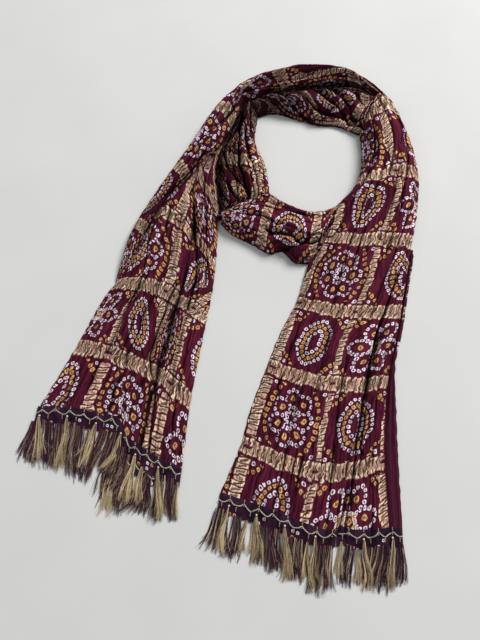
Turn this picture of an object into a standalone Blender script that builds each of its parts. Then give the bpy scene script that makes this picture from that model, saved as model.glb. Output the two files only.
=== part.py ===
"""Dupatta stole, wound once into a neck loop and laid on a flat surface.

The cloth is one long rectangle.  Each stretch of it that shows is one closed
solid: a patch between two side lines, with a rounded, folded top and a flat
underside.  The hidden layers are inside it.  Lengths in the tables are in
millimetres: +X is to the right, +Y runs from the hems to the top of the loop
and +Z is up.
"""
from collections import namedtuple

import bmesh
import bpy
import numpy as np

MM = 0.001

# ---- driving dimensions (mm) -------------------------------------------------
CLOTH_GAP = 0.4            # half the gap kept between neighbouring stretches, side by side
END_GAP = 0.8              # from the end of a stretch to the line where the next one begins
LEAST_HEIGHT = 1.2         # of the cloth at the bottom of a fold
LACE_GAP = 0.8             # between a hem and its lace strip
LACE_DEPTH = 17.0          # hem edge to lower edge of the lace strip
LACE_EDGE = 1.6            # thickness of the strip's outer edge, and of a strand's root
LACE_FOOT = 0.6            # height of the strands' undersides above the surface
LAYER_FOOT = 1.9           # the same where they lie on the folded-under layer
UNDER_DEPTH = 12.0         # of the folded-under layer that shows below the left lace
UNDER_EDGE = 1.0           # thickness of that layer's outer edge
STRANDS_PER_TASSEL = 5
ROOT_WIDTH = 1.4
ROOT_PITCH = 1.9
TASSEL_FAN = 6.0           # degrees between a tassel's first and last strand
LEAN_SWAY = 1.2            # degrees a tassel leans more or less than its neighbours
LAY_CENTRE = (-5.8, 38.3)  # middle of the laid stole, moved to the origin

# ---- shares that shape the cloth and the tassels ------------------------------
SIDE_PLACES = (0.0, 0.018, 0.055, 0.095)   # columns of points at a rounded side, as shares of the width
MIDDLE_START = 0.15        # first of the evenly spaced columns between the sides
START_BEND = 3             # powers of the distance over which a patch bends to its start and end lines
END_BEND = 6
CROWN_POWER = 0.8          # under 1 flattens the crown between the lips
FOLD_FADE = 0.08           # share of the stretch over which a fold starts or ends
LENGTH_SWAY = 0.07         # longer or shorter tassels, as a share of their length
STRAND_SWAY = 0.03         # the same for strands
TASSEL_RATE = 2.3          # radians from tassel to tassel, and from strand to strand, in those sways
STRAND_RATE = 4.7
CURVE_POINTS = 24          # fine points for each given point of a smooth line
END_POINTS = 200           # fine points along an end line

# ---- lines shared by neighbouring stretches: (x, y) ---------------------------
OUTER_LEFT = [(-158, 56), (-172, 30), (-204, -40), (-240, -112)]
OUTER_TOP = [(-158, 58), (-146, 112), (-116, 171), (-74, 246), (-38, 313), (-13, 340), (36, 372),
             (102, 384), (170, 372), (206, 344), (229, 311)]
SHOULDER = [(-156, 54), (-140, 82), (-118, 138), (-97, 171), (-68, 204), (-46, 232)]
SHOULDER_TOP = [(-46, 232), (-28, 252), (-12, 283), (-3, 304), (4, 325)]
GROOVE = [(4, 325), (21, 332), (40, 339), (62, 341), (81, 347), (124, 351), (167, 351), (197, 332)]
INNER_GROOVE = [(7, 323), (21, 331)] + GROOVE[2:]
TUCK = [(197, 332), (212, 322), (226, 306)]
LEFT_TAIL_INNER_TOP = [(-29, 246), (-33, 207), (-30, 170), (-28, 147)]
INNER_SIDE = [(5, 324), (-1, 304), (-9, 283), (-21, 259), (-28, 242), (-33, 207), (-30, 170), (-28, 147)]
LEFT_TAIL_INNER_LOW = [(-28, 134), (-33, 48), (-43, -13), (-58, -103), (-66, -183)]
LEFT_HEM = [(-240, -112), (-203, -113), (-170, -120), (-143, -126), (-131, -146), (-105, -164),
            (-66, -183)]
OPENING_LEFT = [(26, 302), (22, 261), (35, 224), (41, 178)]
OPENING_TOP = [(26, 302), (40, 307), (56, 307), (77, 299), (111, 288), (136, 286), (166, 272)]
OPENING_BOTTOM = [(41, 177), (57, 166), (78, 155), (96, 151), (110, 152), (124, 157)]
OPENING_RIGHT = [(167, 272), (168, 240), (163, 208), (153, 187), (139, 169), (126, 157)]
TWIST = [(166, 272), (171, 288), (180, 308), (197, 332)]
COLUMN_TOP = [(167, 272), (173, 287), (182, 305), (194, 324), (208, 317), (226, 301)]
CROSSING_SEAM = [(-27, 148), (-11, 157), (7, 167), (20, 172), (41, 177)]
CROSSING_LOW = [(-27, 134), (-13, 118), (17, 101), (39, 88), (54, 92), (70, 76), (88, 74)]
TAIL_LEFT = [(126, 157), (113, 129), (88, 76), (72, 26), (51, -14), (31, -62), (9, -120), (2, -147),
             (-24, -208)]
TAIL_RIGHT = [(226, 301), (239, 256), (244, 204), (235, 142), (222, 92)]
STRIP_LEFT = [(222, 92), (208, 35), (196, -15), (180, -66), (170, -120), (166, -157), (164, -246)]
STRIP_RIGHT = [(226, 92), (215, 45), (204, 5), (193, -37), (188, -67), (185, -120), (183, -157), (180, -246)]
RIGHT_HEM = [(-24, -208), (4, -217), (36, -227), (69, -240), (102, -248), (112, -243), (122, -247),
             (164, -246)]

# ---- colours and finish ---------------------------------------------------------
MAROON = (0.075, 0.010, 0.028)
PLUM = (0.045, 0.006, 0.020)
AUBERGINE = (0.030, 0.008, 0.040)
ROUGHNESS = 0.75

# ---- the layers that show at a side: each one's share of the lip's height, where its rounded edge
# ---- starts and how long it is, as shares of the lip; the lowest starts upright ------------------
EdgeLayer = namedtuple("EdgeLayer", "rise start length")
LOWEST_LAYER = 0.35
EDGE_LAYERS = (EdgeLayer(0.17, 0.00, 0.20), EdgeLayer(0.48, 0.45, 0.45))

# ---- a stretch: side lines, end lines, heights, folds, rows and columns of points ----------------
Stretch = namedtuple("Stretch", "name left right start end sections folds rows columns colour")
# ---- its heights: place along it (0 to 1), crest, left lip, right lip ----------------------------
Section = namedtuple("Section", "along crest left_lip right_lip")
# ---- its folds: from and to (shares along and across), rise or sink, half width ------------------
Fold = namedtuple("Fold", "start end across_start across_end rise half_width")

LEFT_TAIL = Stretch(
    "left_tail",
    SHOULDER[::-1] + OUTER_LEFT[1:], LEFT_TAIL_INNER_TOP + LEFT_TAIL_INNER_LOW,
    [SHOULDER[-1], LEFT_TAIL_INNER_TOP[0]], LEFT_HEM,
    [Section(0.00, 24, 20, 20), Section(0.15, 24, 18, 12), Section(0.35, 20, 12, 9),
     Section(0.55, 14, 6, 6), Section(0.80, 9, 4, 4), Section(1.00, 5.5, 3, 3)],
    [Fold(0.00, 0.62, 0.62, 0.70, -8, 11), Fold(0.05, 0.95, 0.30, 0.24, -3.5, 12),
     Fold(0.20, 1.00, 0.46, 0.42, -3.5, 10), Fold(0.10, 0.80, 0.40, 0.34, 3.0, 10),
     Fold(0.45, 1.00, 0.55, 0.64, -4.0, 10), Fold(0.40, 1.00, 0.64, 0.73, 4.0, 11),
     Fold(0.05, 0.55, 0.84, 0.86, 5.0, 9), Fold(0.10, 0.90, 0.76, 0.84, -3.0, 9),
     Fold(0.50, 1.00, 0.12, 0.12, 3.0, 12), Fold(0.62, 1.00, 0.93, 0.92, 2.5, 8)],
    40, 22, MAROON)

TOP_OUTER = Stretch(
    "top_outer",
    OUTER_TOP, SHOULDER + SHOULDER_TOP[1:] + GROOVE[1:] + TUCK[1:],
    [OUTER_TOP[0], SHOULDER[0]], [OUTER_TOP[-1], TUCK[-1]],
    [Section(0.00, 7, 5, 5), Section(0.12, 20, 8, 8), Section(0.30, 31, 12, 14),
     Section(0.50, 33, 14, 18), Section(0.70, 31, 14, 20), Section(0.88, 27, 12, 18), Section(1.00, 9, 6, 8)],
    [Fold(0.08, 0.46, 0.30, 0.22, -3.5, 8), Fold(0.30, 0.72, 0.62, 0.40, -4.0, 9),
     Fold(0.16, 0.52, 0.74, 0.82, 3.5, 8), Fold(0.55, 0.95, 0.66, 0.60, -3.5, 6),
     Fold(0.48, 0.80, 0.20, 0.26, 3.0, 8)],
    58, 14, MAROON)

INNER_LEFT = Stretch(
    "inner_left",
    INNER_SIDE, OPENING_LEFT,
    [INNER_SIDE[0], OPENING_LEFT[0]], CROSSING_SEAM,
    [Section(0.00, 22, 16, 10), Section(0.35, 25, 16, 9), Section(0.75, 24, 10, 9), Section(1.00, 19, 8, 12)],
    [Fold(0.05, 0.95, 0.25, 0.42, -5.0, 8), Fold(0.00, 0.90, 0.45, 0.66, 3.5, 8),
     Fold(0.15, 1.00, 0.60, 0.80, -3.5, 7), Fold(0.45, 1.00, 0.12, 0.20, 3.0, 8)],
    19, 15, MAROON)

TOP_INNER = Stretch(
    "top_inner",
    INNER_GROOVE, OPENING_TOP, [INNER_GROOVE[0], OPENING_TOP[0]], TWIST[::-1],
    [Section(0.00, 22, 18, 10), Section(0.30, 23, 16, 8),
     Section(0.70, 22, 14, 8), Section(1.00, 26, 18, 14)],
    [Fold(0.05, 0.98, 0.22, 0.30, -5.0, 7), Fold(0.00, 0.95, 0.55, 0.62, -4.0, 7),
     Fold(0.10, 0.90, 0.78, 0.82, 3.0, 7)],
    20, 14, MAROON)

BOTTOM_CROSSING = Stretch(
    "bottom_crossing",
    CROSSING_SEAM + OPENING_BOTTOM[1:], CROSSING_LOW,
    [CROSSING_SEAM[0], CROSSING_LOW[0]], [OPENING_BOTTOM[-1], TAIL_LEFT[1], CROSSING_LOW[-1]],
    [Section(0.00, 17, 12, 8), Section(0.20, 25, 14, 7), Section(0.60, 29, 12, 7), Section(1.00, 25, 12, 8)],
    [Fold(0.15, 1.00, 0.30, 0.22, -3.0, 8), Fold(0.20, 1.00, 0.52, 0.58, 3.0, 9),
     Fold(0.45, 1.00, 0.74, 0.70, -4.5, 8)],
    19, 15, MAROON)

RIGHT_TAIL = Stretch(
    "right_tail",
    OPENING_RIGHT + TAIL_LEFT[1:], TAIL_RIGHT + STRIP_LEFT[1:],
    COLUMN_TOP, RIGHT_HEM,
    [Section(0.00, 28, 16, 16), Section(0.10, 37, 12, 14), Section(0.28, 36, 10, 11),
     Section(0.42, 24, 12, 8), Section(0.60, 14, 6, 6), Section(0.80, 9, 4, 4.5), Section(1.00, 5.5, 3, 3.5)],
    [Fold(0.02, 0.40, 0.28, 0.16, -4.0, 9), Fold(0.04, 0.45, 0.70, 0.80, 4.0, 9),
     Fold(0.36, 1.00, 0.97, 0.72, -4.5, 9), Fold(0.52, 0.92, 0.84, 0.84, -3.5, 8),
     Fold(0.10, 0.70, 0.48, 0.42, -3.0, 10), Fold(0.30, 1.00, 0.26, 0.28, 3.0, 10),
     Fold(0.45, 1.00, 0.12, 0.14, -2.5, 9), Fold(0.50, 1.00, 0.50, 0.54, 2.5, 10),
     Fold(0.40, 0.95, 0.62, 0.64, -2.5, 8), Fold(0.60, 1.00, 0.40, 0.42, -2.5, 8),
     Fold(0.45, 1.00, 0.90, 0.92, 3.0, 9)],
    52, 24, MAROON)

RIGHT_TAIL_UNDER = Stretch(
    "right_tail_under",
    STRIP_LEFT, STRIP_RIGHT, [STRIP_LEFT[0], STRIP_RIGHT[0]], [STRIP_LEFT[-1], STRIP_RIGHT[-1]],
    [Section(0.00, 7.5, 6, 5), Section(0.50, 5, 3.5, 3), Section(1.00, 3.2, 2.4, 2)],
    [], 20, 9, PLUM)

STRETCHES = (LEFT_TAIL, TOP_OUTER, INNER_LEFT, TOP_INNER, BOTTOM_CROSSING, RIGHT_TAIL, RIGHT_TAIL_UNDER)

# ---- a lace: the share of the hem it covers, the way from the hem to the tips, its strip (distance from
# ---- the hem, depth, height where it isn't the hem's own, thickness of the outer edge), its tassels
# ---- (number, length, lean of the first and change of lean to the last, in degrees) and the height of
# ---- their undersides along it ------------------------------------------------------------------
Lace = namedtuple("Lace", "name stretches start end down offset depth height edge "
                          "tassels tassel_length lean drift feet colour")
LEVEL = [(0.0, LACE_FOOT), (1.0, LACE_FOOT)]
OVER_LAYER = [(0.0, LACE_FOOT), (0.44, LACE_FOOT), (0.47, LAYER_FOOT), (0.89, LAYER_FOOT),
              (0.92, LACE_FOOT), (1.0, LACE_FOOT)]
LACES = (
    Lace("left_lace", (LEFT_TAIL,), 0.0, 1.0, (-0.12, -1.0),
         LACE_GAP, LACE_DEPTH - LACE_GAP, None, LACE_EDGE, 11, 46.0, 14.0, -10.0, OVER_LAYER, AUBERGINE),
    Lace("left_tail_under", (LEFT_TAIL,), 0.50, 0.86, (-0.12, -1.0),
         LACE_DEPTH + LACE_GAP, UNDER_DEPTH, LACE_FOOT + UNDER_EDGE, UNDER_EDGE, 4, 43.0, 11.0, -8.0,
         LEVEL, PLUM),
    Lace("right_lace_inner", (RIGHT_TAIL, RIGHT_TAIL_UNDER), 0.0, 0.620, (-0.16, -1.0),
         LACE_GAP, LACE_DEPTH - LACE_GAP, None, LACE_EDGE, 8, 38.0, 13.0, -18.0, LEVEL, AUBERGINE),
    Lace("right_lace_outer", (RIGHT_TAIL, RIGHT_TAIL_UNDER), 0.655, 1.0, (-0.04, -1.0),
         LACE_GAP, LACE_DEPTH - LACE_GAP, None, LACE_EDGE, 4, 40.0, 4.0, -8.0, LEVEL, AUBERGINE),
)

# ---- a strand's rings after its root: share of its length, of its lean, and of its root's size ----
StrandRing = namedtuple("StrandRing", "reach turn size")
STRAND_RINGS = (StrandRing(0.5, 0.6, 0.9), StrandRing(1.0, 1.0, 0.55))


# ---- curves -------------------------------------------------------------------
def smooth_line(points, count):
    """Centripetal Catmull-Rom curve through the points, evenly spaced along its length."""
    pts = np.asarray(points, float)
    if len(pts) == 2:
        share = np.linspace(0.0, 1.0, count)[:, None]
        return pts[0] * (1 - share) + pts[1] * share
    ends = np.vstack([2 * pts[0] - pts[1], pts, 2 * pts[-1] - pts[-2]])
    step = np.maximum(np.linalg.norm(np.diff(ends, axis=0), axis=1), 1e-6) ** 0.5
    knots = np.concatenate([[0.0], np.cumsum(step)])
    fine = np.linspace(knots[1], knots[-2], CURVE_POINTS * len(pts))
    seg = np.clip(np.searchsorted(knots, fine, side="right") - 1, 1, len(pts) - 1)
    t0, t1, t2, t3 = (knots[seg + k] for k in (-1, 0, 1, 2))
    p0, p1, p2, p3 = (ends[seg + k] for k in (-1, 0, 1, 2))

    def blend(a, b, ta, tb):
        return ((tb - fine) / (tb - ta))[:, None] * a + ((fine - ta) / (tb - ta))[:, None] * b

    a1, a2, a3 = blend(p0, p1, t0, t1), blend(p1, p2, t1, t2), blend(p2, p3, t2, t3)
    b1, b2 = blend(a1, a2, t0, t2), blend(a2, a3, t1, t3)
    curve = blend(b1, b2, t1, t2)
    run = np.concatenate([[0.0], np.cumsum(np.linalg.norm(np.diff(curve, axis=0), axis=1))])
    even = np.linspace(0.0, run[-1], count)
    return np.column_stack([np.interp(even, run, curve[:, k]) for k in range(2)])


def smooth_step(x):
    """0 below 0, 1 above 1 and an S between them."""
    x = np.clip(x, 0.0, 1.0)
    return x * x * (3 - 2 * x)


# ---- one stretch of cloth -------------------------------------------------------
def across_places(columns):
    """Places from side to side: close together at the rounded edges, even between."""
    side = np.array(SIDE_PLACES)
    middle = np.linspace(MIDDLE_START, 1 - MIDDLE_START, columns - 2 * len(side))
    return np.concatenate([side, middle, 1 - side[::-1]])


def plan_of(stretch, along, across):
    """Plan of the patch: side lines joined straight, bent near the ends to the end lines."""
    left = smooth_line(stretch.left, len(along))[:, None, :]
    right = smooth_line(stretch.right, len(along))[:, None, :]
    w = across[None, :, None]
    t = along[:, None, None]
    plan = left * (1 - w) + right * w
    ends = ((stretch.start, 0, (1 - t) ** START_BEND), (stretch.end, -1, t ** END_BEND))
    share = np.linspace(0.0, 1.0, END_POINTS)
    for line, corner, weight in ends:
        end = smooth_line(line, END_POINTS)
        bent = np.column_stack([np.interp(across, share, end[:, k]) for k in range(2)])
        plan = plan + weight * (bent - plan[corner])[None, :, :]
    return plan


def height_of(stretch, along, across, width):
    """Lips of two layers at both sides, a crown between them, then each fold added along its own line."""
    rows = np.array(stretch.sections)
    crest, left_lip, right_lip = (np.interp(along, rows[:, 0], rows[:, k])[:, None] for k in (1, 2, 3))
    w = across[None, :]
    lip = left_lip + (right_lip - left_lip) * smooth_step(w)
    from_side = np.minimum(w, 1 - w) * width
    roll = from_side / lip
    edge = LOWEST_LAYER + sum(layer.rise * smooth_step((roll - layer.start) / layer.length)
                              for layer in EDGE_LAYERS)
    crown = np.sin(np.pi * w) ** CROWN_POWER
    height = lip * edge + (crest - lip) * crown
    for fold in stretch.folds:
        share = np.clip((along - fold.start) / (fold.end - fold.start), 0.0, 1.0)
        line = (fold.across_start + (fold.across_end - fold.across_start) * share)[:, None]
        off = np.clip(np.abs(w - line) * width / fold.half_width, 0.0, 1.0)
        fade_in = smooth_step((along - fold.start) / FOLD_FADE + (fold.start <= 0.0))
        fade_out = smooth_step((fold.end - along) / FOLD_FADE + (fold.end >= 1.0))
        height = height + fold.rise * np.cos(0.5 * np.pi * off) ** 2 * (fade_in * fade_out)[:, None]
    return np.maximum(height, LEAST_HEIGHT)


def inward(line, towards):
    """Unit normals of a line of points, on the side where the point towards lies."""
    run = np.gradient(line, axis=0)
    normal = np.column_stack([-run[:, 1], run[:, 0]])
    normal /= np.linalg.norm(normal, axis=1)[:, None]
    side = np.sign(np.sum(normal * (towards - line)))
    return normal * side


def top_grid(stretch):
    """Grid of points (mm) over the top of one stretch, kept clear of its neighbours."""
    along = np.linspace(0.0, 1.0, stretch.rows)
    across = across_places(stretch.columns)
    plan = plan_of(stretch, along, across)
    width = np.linalg.norm(plan[:, -1] - plan[:, 0], axis=1)[:, None]
    height = height_of(stretch, along, across, width)
    middle = 0.5 * (plan[:, 0] + plan[:, -1])
    from_left = inward(plan[:, 0], middle)[:, None, :] * (1 - across)[None, :, None]
    from_right = inward(plan[:, -1], middle)[:, None, :] * across[None, :, None]
    moved = plan + CLOTH_GAP * (from_left + from_right)
    moved[0] += END_GAP * inward(plan[0], plan[1])
    moved[-1] += END_GAP * inward(plan[-1], plan[-2])
    return np.dstack([moved, height])


def new_solid(name, mesh_tool, colour, collection):
    """Turn a bmesh into a named object with its own material."""
    bmesh.ops.recalc_face_normals(mesh_tool, faces=mesh_tool.faces)
    mesh = bpy.data.meshes.new(name)
    mesh_tool.to_mesh(mesh)
    mesh_tool.free()
    material = bpy.data.materials.new(name + "_finish")
    material.use_nodes = True
    shader = material.node_tree.nodes["Principled BSDF"]
    shader.inputs["Base Color"].default_value = (*colour, 1.0)
    shader.inputs["Roughness"].default_value = ROUGHNESS
    shader.inputs["Metallic"].default_value = 0.0
    mesh.materials.append(material)
    solid = bpy.data.objects.new(name, mesh)
    collection.objects.link(solid)
    return solid


def to_metres(points):
    """Millimetres in the laid frame to metres about the origin."""
    return (np.asarray(points, float) - np.array([LAY_CENTRE[0], LAY_CENTRE[1], 0.0])) * MM


def close_downwards(mesh_tool, top):
    """Face a grid of top points, wall its border down to the surface and close the underside flat."""
    rows, columns = len(top), len(top[0])
    for i in range(rows - 1):
        for j in range(columns - 1):
            mesh_tool.faces.new((top[i][j], top[i][j + 1], top[i + 1][j + 1], top[i + 1][j]))
    rim = list(top[0])
    rim += [top[i][-1] for i in range(1, rows)]
    rim += top[-1][-2::-1]
    rim += [top[i][0] for i in range(rows - 2, 0, -1)]
    base = [mesh_tool.verts.new((v.co.x, v.co.y, 0.0)) for v in rim]
    for k in range(len(rim)):
        mesh_tool.faces.new((rim[k - 1], rim[k], base[k], base[k - 1]))
    underside = mesh_tool.faces.new(base)
    underside.normal_update()
    bmesh.ops.triangulate(mesh_tool, faces=[underside], ngon_method="EAR_CLIP")


def add_stretch(stretch, collection):
    """Build the closed solid of one stretch."""
    grid = top_grid(stretch)
    points = to_metres(grid)
    mesh_tool = bmesh.new()
    top = [[mesh_tool.verts.new(point) for point in row] for row in points]
    close_downwards(mesh_tool, top)
    return new_solid(stretch.name, mesh_tool, stretch.colour, collection)


# ---- lace strips and tassels ------------------------------------------------------
def along_hem(lace, places):
    """Points (x, y, height) of the cloth's end rows, at the given shares of the lace's length."""
    rows = np.vstack([top_grid(stretch)[-1] for stretch in lace.stretches])
    run = np.concatenate([[0.0], np.cumsum(np.linalg.norm(np.diff(rows[:, :2], axis=0), axis=1))])
    at = run[-1] * (lace.start + (lace.end - lace.start) * places)
    return np.column_stack([np.interp(at, run, rows[:, k]) for k in range(3)])


def strip_length(lace):
    """Length of the lace's stretch of the hem."""
    ends = np.linspace(0.0, 1.0, END_POINTS)
    return np.sum(np.linalg.norm(np.diff(along_hem(lace, ends)[:, :2], axis=0), axis=1))


def unit(direction):
    """The direction as a vector of length 1."""
    vector = np.array(direction, float)
    return vector / np.linalg.norm(vector)


def root_places(lace):
    """Shares of the lace's length where each strand's root begins and ends, tassel by tassel."""
    tassel = np.arange(lace.tassels)[:, None]
    strand = np.arange(STRANDS_PER_TASSEL)[None, :] - 0.5 * (STRANDS_PER_TASSEL - 1)
    length = strip_length(lace)
    middle = (tassel + 0.5) / lace.tassels + strand * ROOT_PITCH / length
    half = 0.5 * ROOT_WIDTH / length
    return (middle - half).ravel(), (middle + half).ravel()


def add_lace(lace, collection):
    """Build one lace strip with its tassels drawn out of the strip's outer edge."""
    first, last = root_places(lace)
    between = np.arange(lace.tassels + 1) / lace.tassels
    places = np.sort(np.concatenate([between, first, last]))
    hem = along_hem(lace, places)
    inner = hem[:, :2] + unit(lace.down) * lace.offset
    outer = inner + unit(lace.down) * lace.depth
    foot = np.interp(places, *np.array(lace.feet).T)
    top = foot + lace.edge
    crown = np.maximum(hem[:, 2] if lace.height is None else lace.height, top)
    mesh_tool = bmesh.new()

    def row(plan, height):
        return [mesh_tool.verts.new(p) for p in to_metres(np.column_stack([plan, height]))]

    lines = [row(inner, crown), row(outer, top), row(outer, foot)]
    close_downwards(mesh_tool, lines)
    for number, j in enumerate(np.searchsorted(places, first)):
        root = [lines[1][j], lines[1][j + 1], lines[2][j + 1], lines[2][j]]
        add_strand(mesh_tool, root, lace, number)
    return new_solid(lace.name, mesh_tool, lace.colour, collection)


def strand_heading(lace, tassel, strand, turn):
    """Direction of a strand in plan where it has made the given share of its lean."""
    fan = TASSEL_FAN * (0.5 - strand / (STRANDS_PER_TASSEL - 1))
    lean = lace.lean + lace.drift * (tassel + 0.5) / lace.tassels + LEAN_SWAY * np.sin(TASSEL_RATE * tassel)
    angle = np.radians(lean * turn + fan)
    x, y = unit(lace.down)
    return np.array([x * np.cos(angle) + y * np.sin(angle), y * np.cos(angle) - x * np.sin(angle)])


def add_strand(mesh_tool, root, lace, number):
    """Draw one strand out of its root face: down along the surface, leaning and narrowing to its tip."""
    tassel, strand = divmod(number, STRANDS_PER_TASSEL)
    sway = LENGTH_SWAY * np.sin(TASSEL_RATE * tassel) + STRAND_SWAY * np.sin(STRAND_RATE * number)
    length = lace.tassel_length * (1 + sway)
    mesh_tool.faces.remove(next(face for face in root[0].link_faces if set(face.verts) == set(root)))
    base = np.array([v.co for v in root]) / MM
    middle = base.mean(axis=0)[:2]
    foot = base[-1, 2]
    last_ring = root
    for ring in STRAND_RINGS:
        heading = strand_heading(lace, tassel, strand, ring.turn)
        side = np.array([-heading[1], heading[0]])
        half = 0.5 * ring.size * ROOT_WIDTH * np.sign(np.dot(side, base[1, :2] - base[0, :2])) * side
        centre = middle + heading * length * ring.reach
        top = foot + ring.size * lace.edge
        corners = ((centre - half, top), (centre + half, top), (centre + half, foot), (centre - half, foot))
        next_ring = [mesh_tool.verts.new(np.append(place, high) * MM) for place, high in corners]
        for k in range(len(next_ring)):
            mesh_tool.faces.new((last_ring[k - 1], last_ring[k], next_ring[k], next_ring[k - 1]))
        last_ring = next_ring
    mesh_tool.faces.new(last_ring)


def main():
    """Clear the scene and build every stretch and lace."""
    for old in list(bpy.data.objects):
        bpy.data.objects.remove(old, do_unlink=True)
    collection = bpy.data.collections.new("dupatta_stole")
    bpy.context.scene.collection.children.link(collection)
    for stretch in STRETCHES:
        add_stretch(stretch, collection)
    for lace in LACES:
        add_lace(lace, collection)


main()
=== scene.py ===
from collections import namedtuple
from functools import partialmethod
from math import cos, pi, radians, sin, tau

import bpy
import numpy as np
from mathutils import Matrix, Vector


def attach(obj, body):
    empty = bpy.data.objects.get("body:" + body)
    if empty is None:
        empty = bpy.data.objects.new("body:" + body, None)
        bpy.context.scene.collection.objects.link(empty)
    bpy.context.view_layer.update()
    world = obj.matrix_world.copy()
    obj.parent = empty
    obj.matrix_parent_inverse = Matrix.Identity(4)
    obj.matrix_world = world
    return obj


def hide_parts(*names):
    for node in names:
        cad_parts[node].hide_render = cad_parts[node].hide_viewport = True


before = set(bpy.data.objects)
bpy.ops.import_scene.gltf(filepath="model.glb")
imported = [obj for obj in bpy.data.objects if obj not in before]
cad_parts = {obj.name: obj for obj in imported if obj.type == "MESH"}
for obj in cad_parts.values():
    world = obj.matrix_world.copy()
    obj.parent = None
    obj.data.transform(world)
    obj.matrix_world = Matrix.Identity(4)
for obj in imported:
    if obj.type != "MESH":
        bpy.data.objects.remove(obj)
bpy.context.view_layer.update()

MM = 0.001
TINY = 1e-6                # keeps a length that is divided by above nothing
LAY_CENTRE = (-5.8, 38.3)

# ---- lines of the laid stole, shared by neighbouring stretches: (x, y) ----
OUTER_LEFT = [(-158, 56), (-172, 30), (-204, -40), (-240, -112)]
OUTER_TOP = [(-158, 58), (-146, 112), (-116, 171), (-74, 246), (-38, 313), (-13, 340), (36, 372),
             (102, 384), (170, 372), (206, 344), (229, 311)]
SHOULDER = [(-156, 54), (-140, 82), (-118, 138), (-97, 171), (-68, 204), (-46, 232)]
SHOULDER_TOP = [(-46, 232), (-28, 252), (-12, 283), (-3, 304), (4, 325)]
GROOVE = [(4, 325), (21, 332), (40, 339), (62, 341), (81, 347), (124, 351), (167, 351), (197, 332)]
INNER_GROOVE = [(7, 323), (21, 331)] + GROOVE[2:]
TUCK = [(197, 332), (212, 322), (226, 306)]
LEFT_TAIL_INNER_TOP = [(-29, 246), (-33, 207), (-30, 170), (-28, 147)]
INNER_SIDE = [(5, 324), (-1, 304), (-9, 283), (-21, 259), (-28, 242), (-33, 207), (-30, 170), (-28, 147)]
LEFT_TAIL_INNER_LOW = [(-28, 134), (-33, 48), (-43, -13), (-58, -103), (-66, -183)]
LEFT_HEM = [(-240, -112), (-203, -113), (-170, -120), (-143, -126), (-131, -146), (-105, -164),
            (-66, -183)]
OPENING_LEFT = [(26, 302), (22, 261), (35, 224), (41, 178)]
OPENING_TOP = [(26, 302), (40, 307), (56, 307), (77, 299), (111, 288), (136, 286), (166, 272)]
OPENING_BOTTOM = [(41, 177), (57, 166), (78, 155), (96, 151), (110, 152), (124, 157)]
OPENING_RIGHT = [(167, 272), (168, 240), (163, 208), (153, 187), (139, 169), (126, 157)]
TWIST = [(166, 272), (171, 288), (180, 308), (197, 332)]
COLUMN_TOP = [(167, 272), (173, 287), (182, 305), (194, 324), (208, 317), (226, 301)]
CROSSING_SEAM = [(-27, 148), (-11, 157), (7, 167), (20, 172), (41, 177)]
CROSSING_LOW = [(-27, 134), (-13, 118), (17, 101), (39, 88), (54, 92), (70, 76), (88, 74)]
TAIL_LEFT = [(126, 157), (113, 129), (88, 76), (72, 26), (51, -14), (31, -62), (9, -120), (2, -147),
             (-24, -208)]
TAIL_RIGHT = [(226, 301), (239, 256), (244, 204), (235, 142), (222, 92)]
STRIP_LEFT = [(222, 92), (208, 35), (196, -15), (180, -66), (170, -120), (166, -157), (164, -246)]
STRIP_RIGHT = [(226, 92), (215, 45), (204, 5), (193, -37), (188, -67), (185, -120), (183, -157), (180, -246)]
RIGHT_HEM = [(-24, -208), (4, -217), (36, -227), (69, -240), (102, -248), (112, -243), (122, -247),
             (164, -246)]

# ---- how the cloth lies ----
CLOTH_GAP = 0.4            # half the gap between neighbouring stretches, side by side
SIDE_WANDER = 0.45         # how far a creased side wanders, and how much farther in it lies
END_GAP = 0.8
LEAST_HEIGHT = 1.2         # of a sheet's top
LEAST_SIDE_HEIGHT = 0.7    # of its sides and tucked ends
SHEET_THICKNESS = 0.5
LINE_POINTS = 200          # in a line that is measured or bent to
FINE_POINTS = 24           # in a curve, for each of the points that it goes through
SIDE_CROWDING = 0.35       # how far the columns crowd towards the sides, from 0 to 1
START_BEND = 3             # powers of the distance over which a stretch bends to its start and end lines
END_BEND = 6
CROWN_POWER = 0.8          # under 1 flattens the crown between the sides
CREASE_POWER = 1.6         # over 1 brings a crease to a sharp point
FOLD_FADE = 0.08           # share of the stretch over which a fold starts or ends
CREASE_FADE = 0.05
FOLD_WANDER = 0.008        # share of the width by which a fold's line wanders, and how quickly
FOLD_WANDER_RATE = 6
CREASE_WANDER = 0.004
CREASE_WANDER_RATE = 9
LOWEST_LAYER = 0.35        # of a side's height, under the rounded layers
EdgeLayer = namedtuple("EdgeLayer", "rise start length")
EDGE_LAYERS = (EdgeLayer(0.17, 0.00, 0.20), EdgeLayer(0.48, 0.45, 0.45))
Ripple = namedtuple("Ripple", "pitch depth")         # small lengthwise waves across the cloth
RIPPLES = (Ripple(4.3, 0.30), Ripple(6.1, 0.36), Ripple(9.7, 0.40), Ripple(15.0, 0.45))
WRINKLE_FADE = 0.1         # share of the stretch over which a small crease starts or ends
SMOOTH_SIDE = 3.0          # mm from a side over which the small creases start
# The sheet's side below its top: mm turned in, or mm spread out below a neighbour, and share of its height.
SideRoll = namedtuple("SideRoll", "inset spread height")
SIDE_ROLL = (SideRoll(3.4, 6.0, 0.05), SideRoll(1.6, 3.2, 0.08), SideRoll(0.35, 1.4, 0.24),
             SideRoll(-0.1, 0.5, 0.62))
SIDE_CLOTH = 0.3           # cloth in each row of the side's roll, as a share of its height
NEXT_IN = {0: 1, -1: -2}   # the row or column inside the first one, and inside the last one
JOIN_FADE = 0.02           # share of the stretch over which a side changes from one to the other
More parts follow.
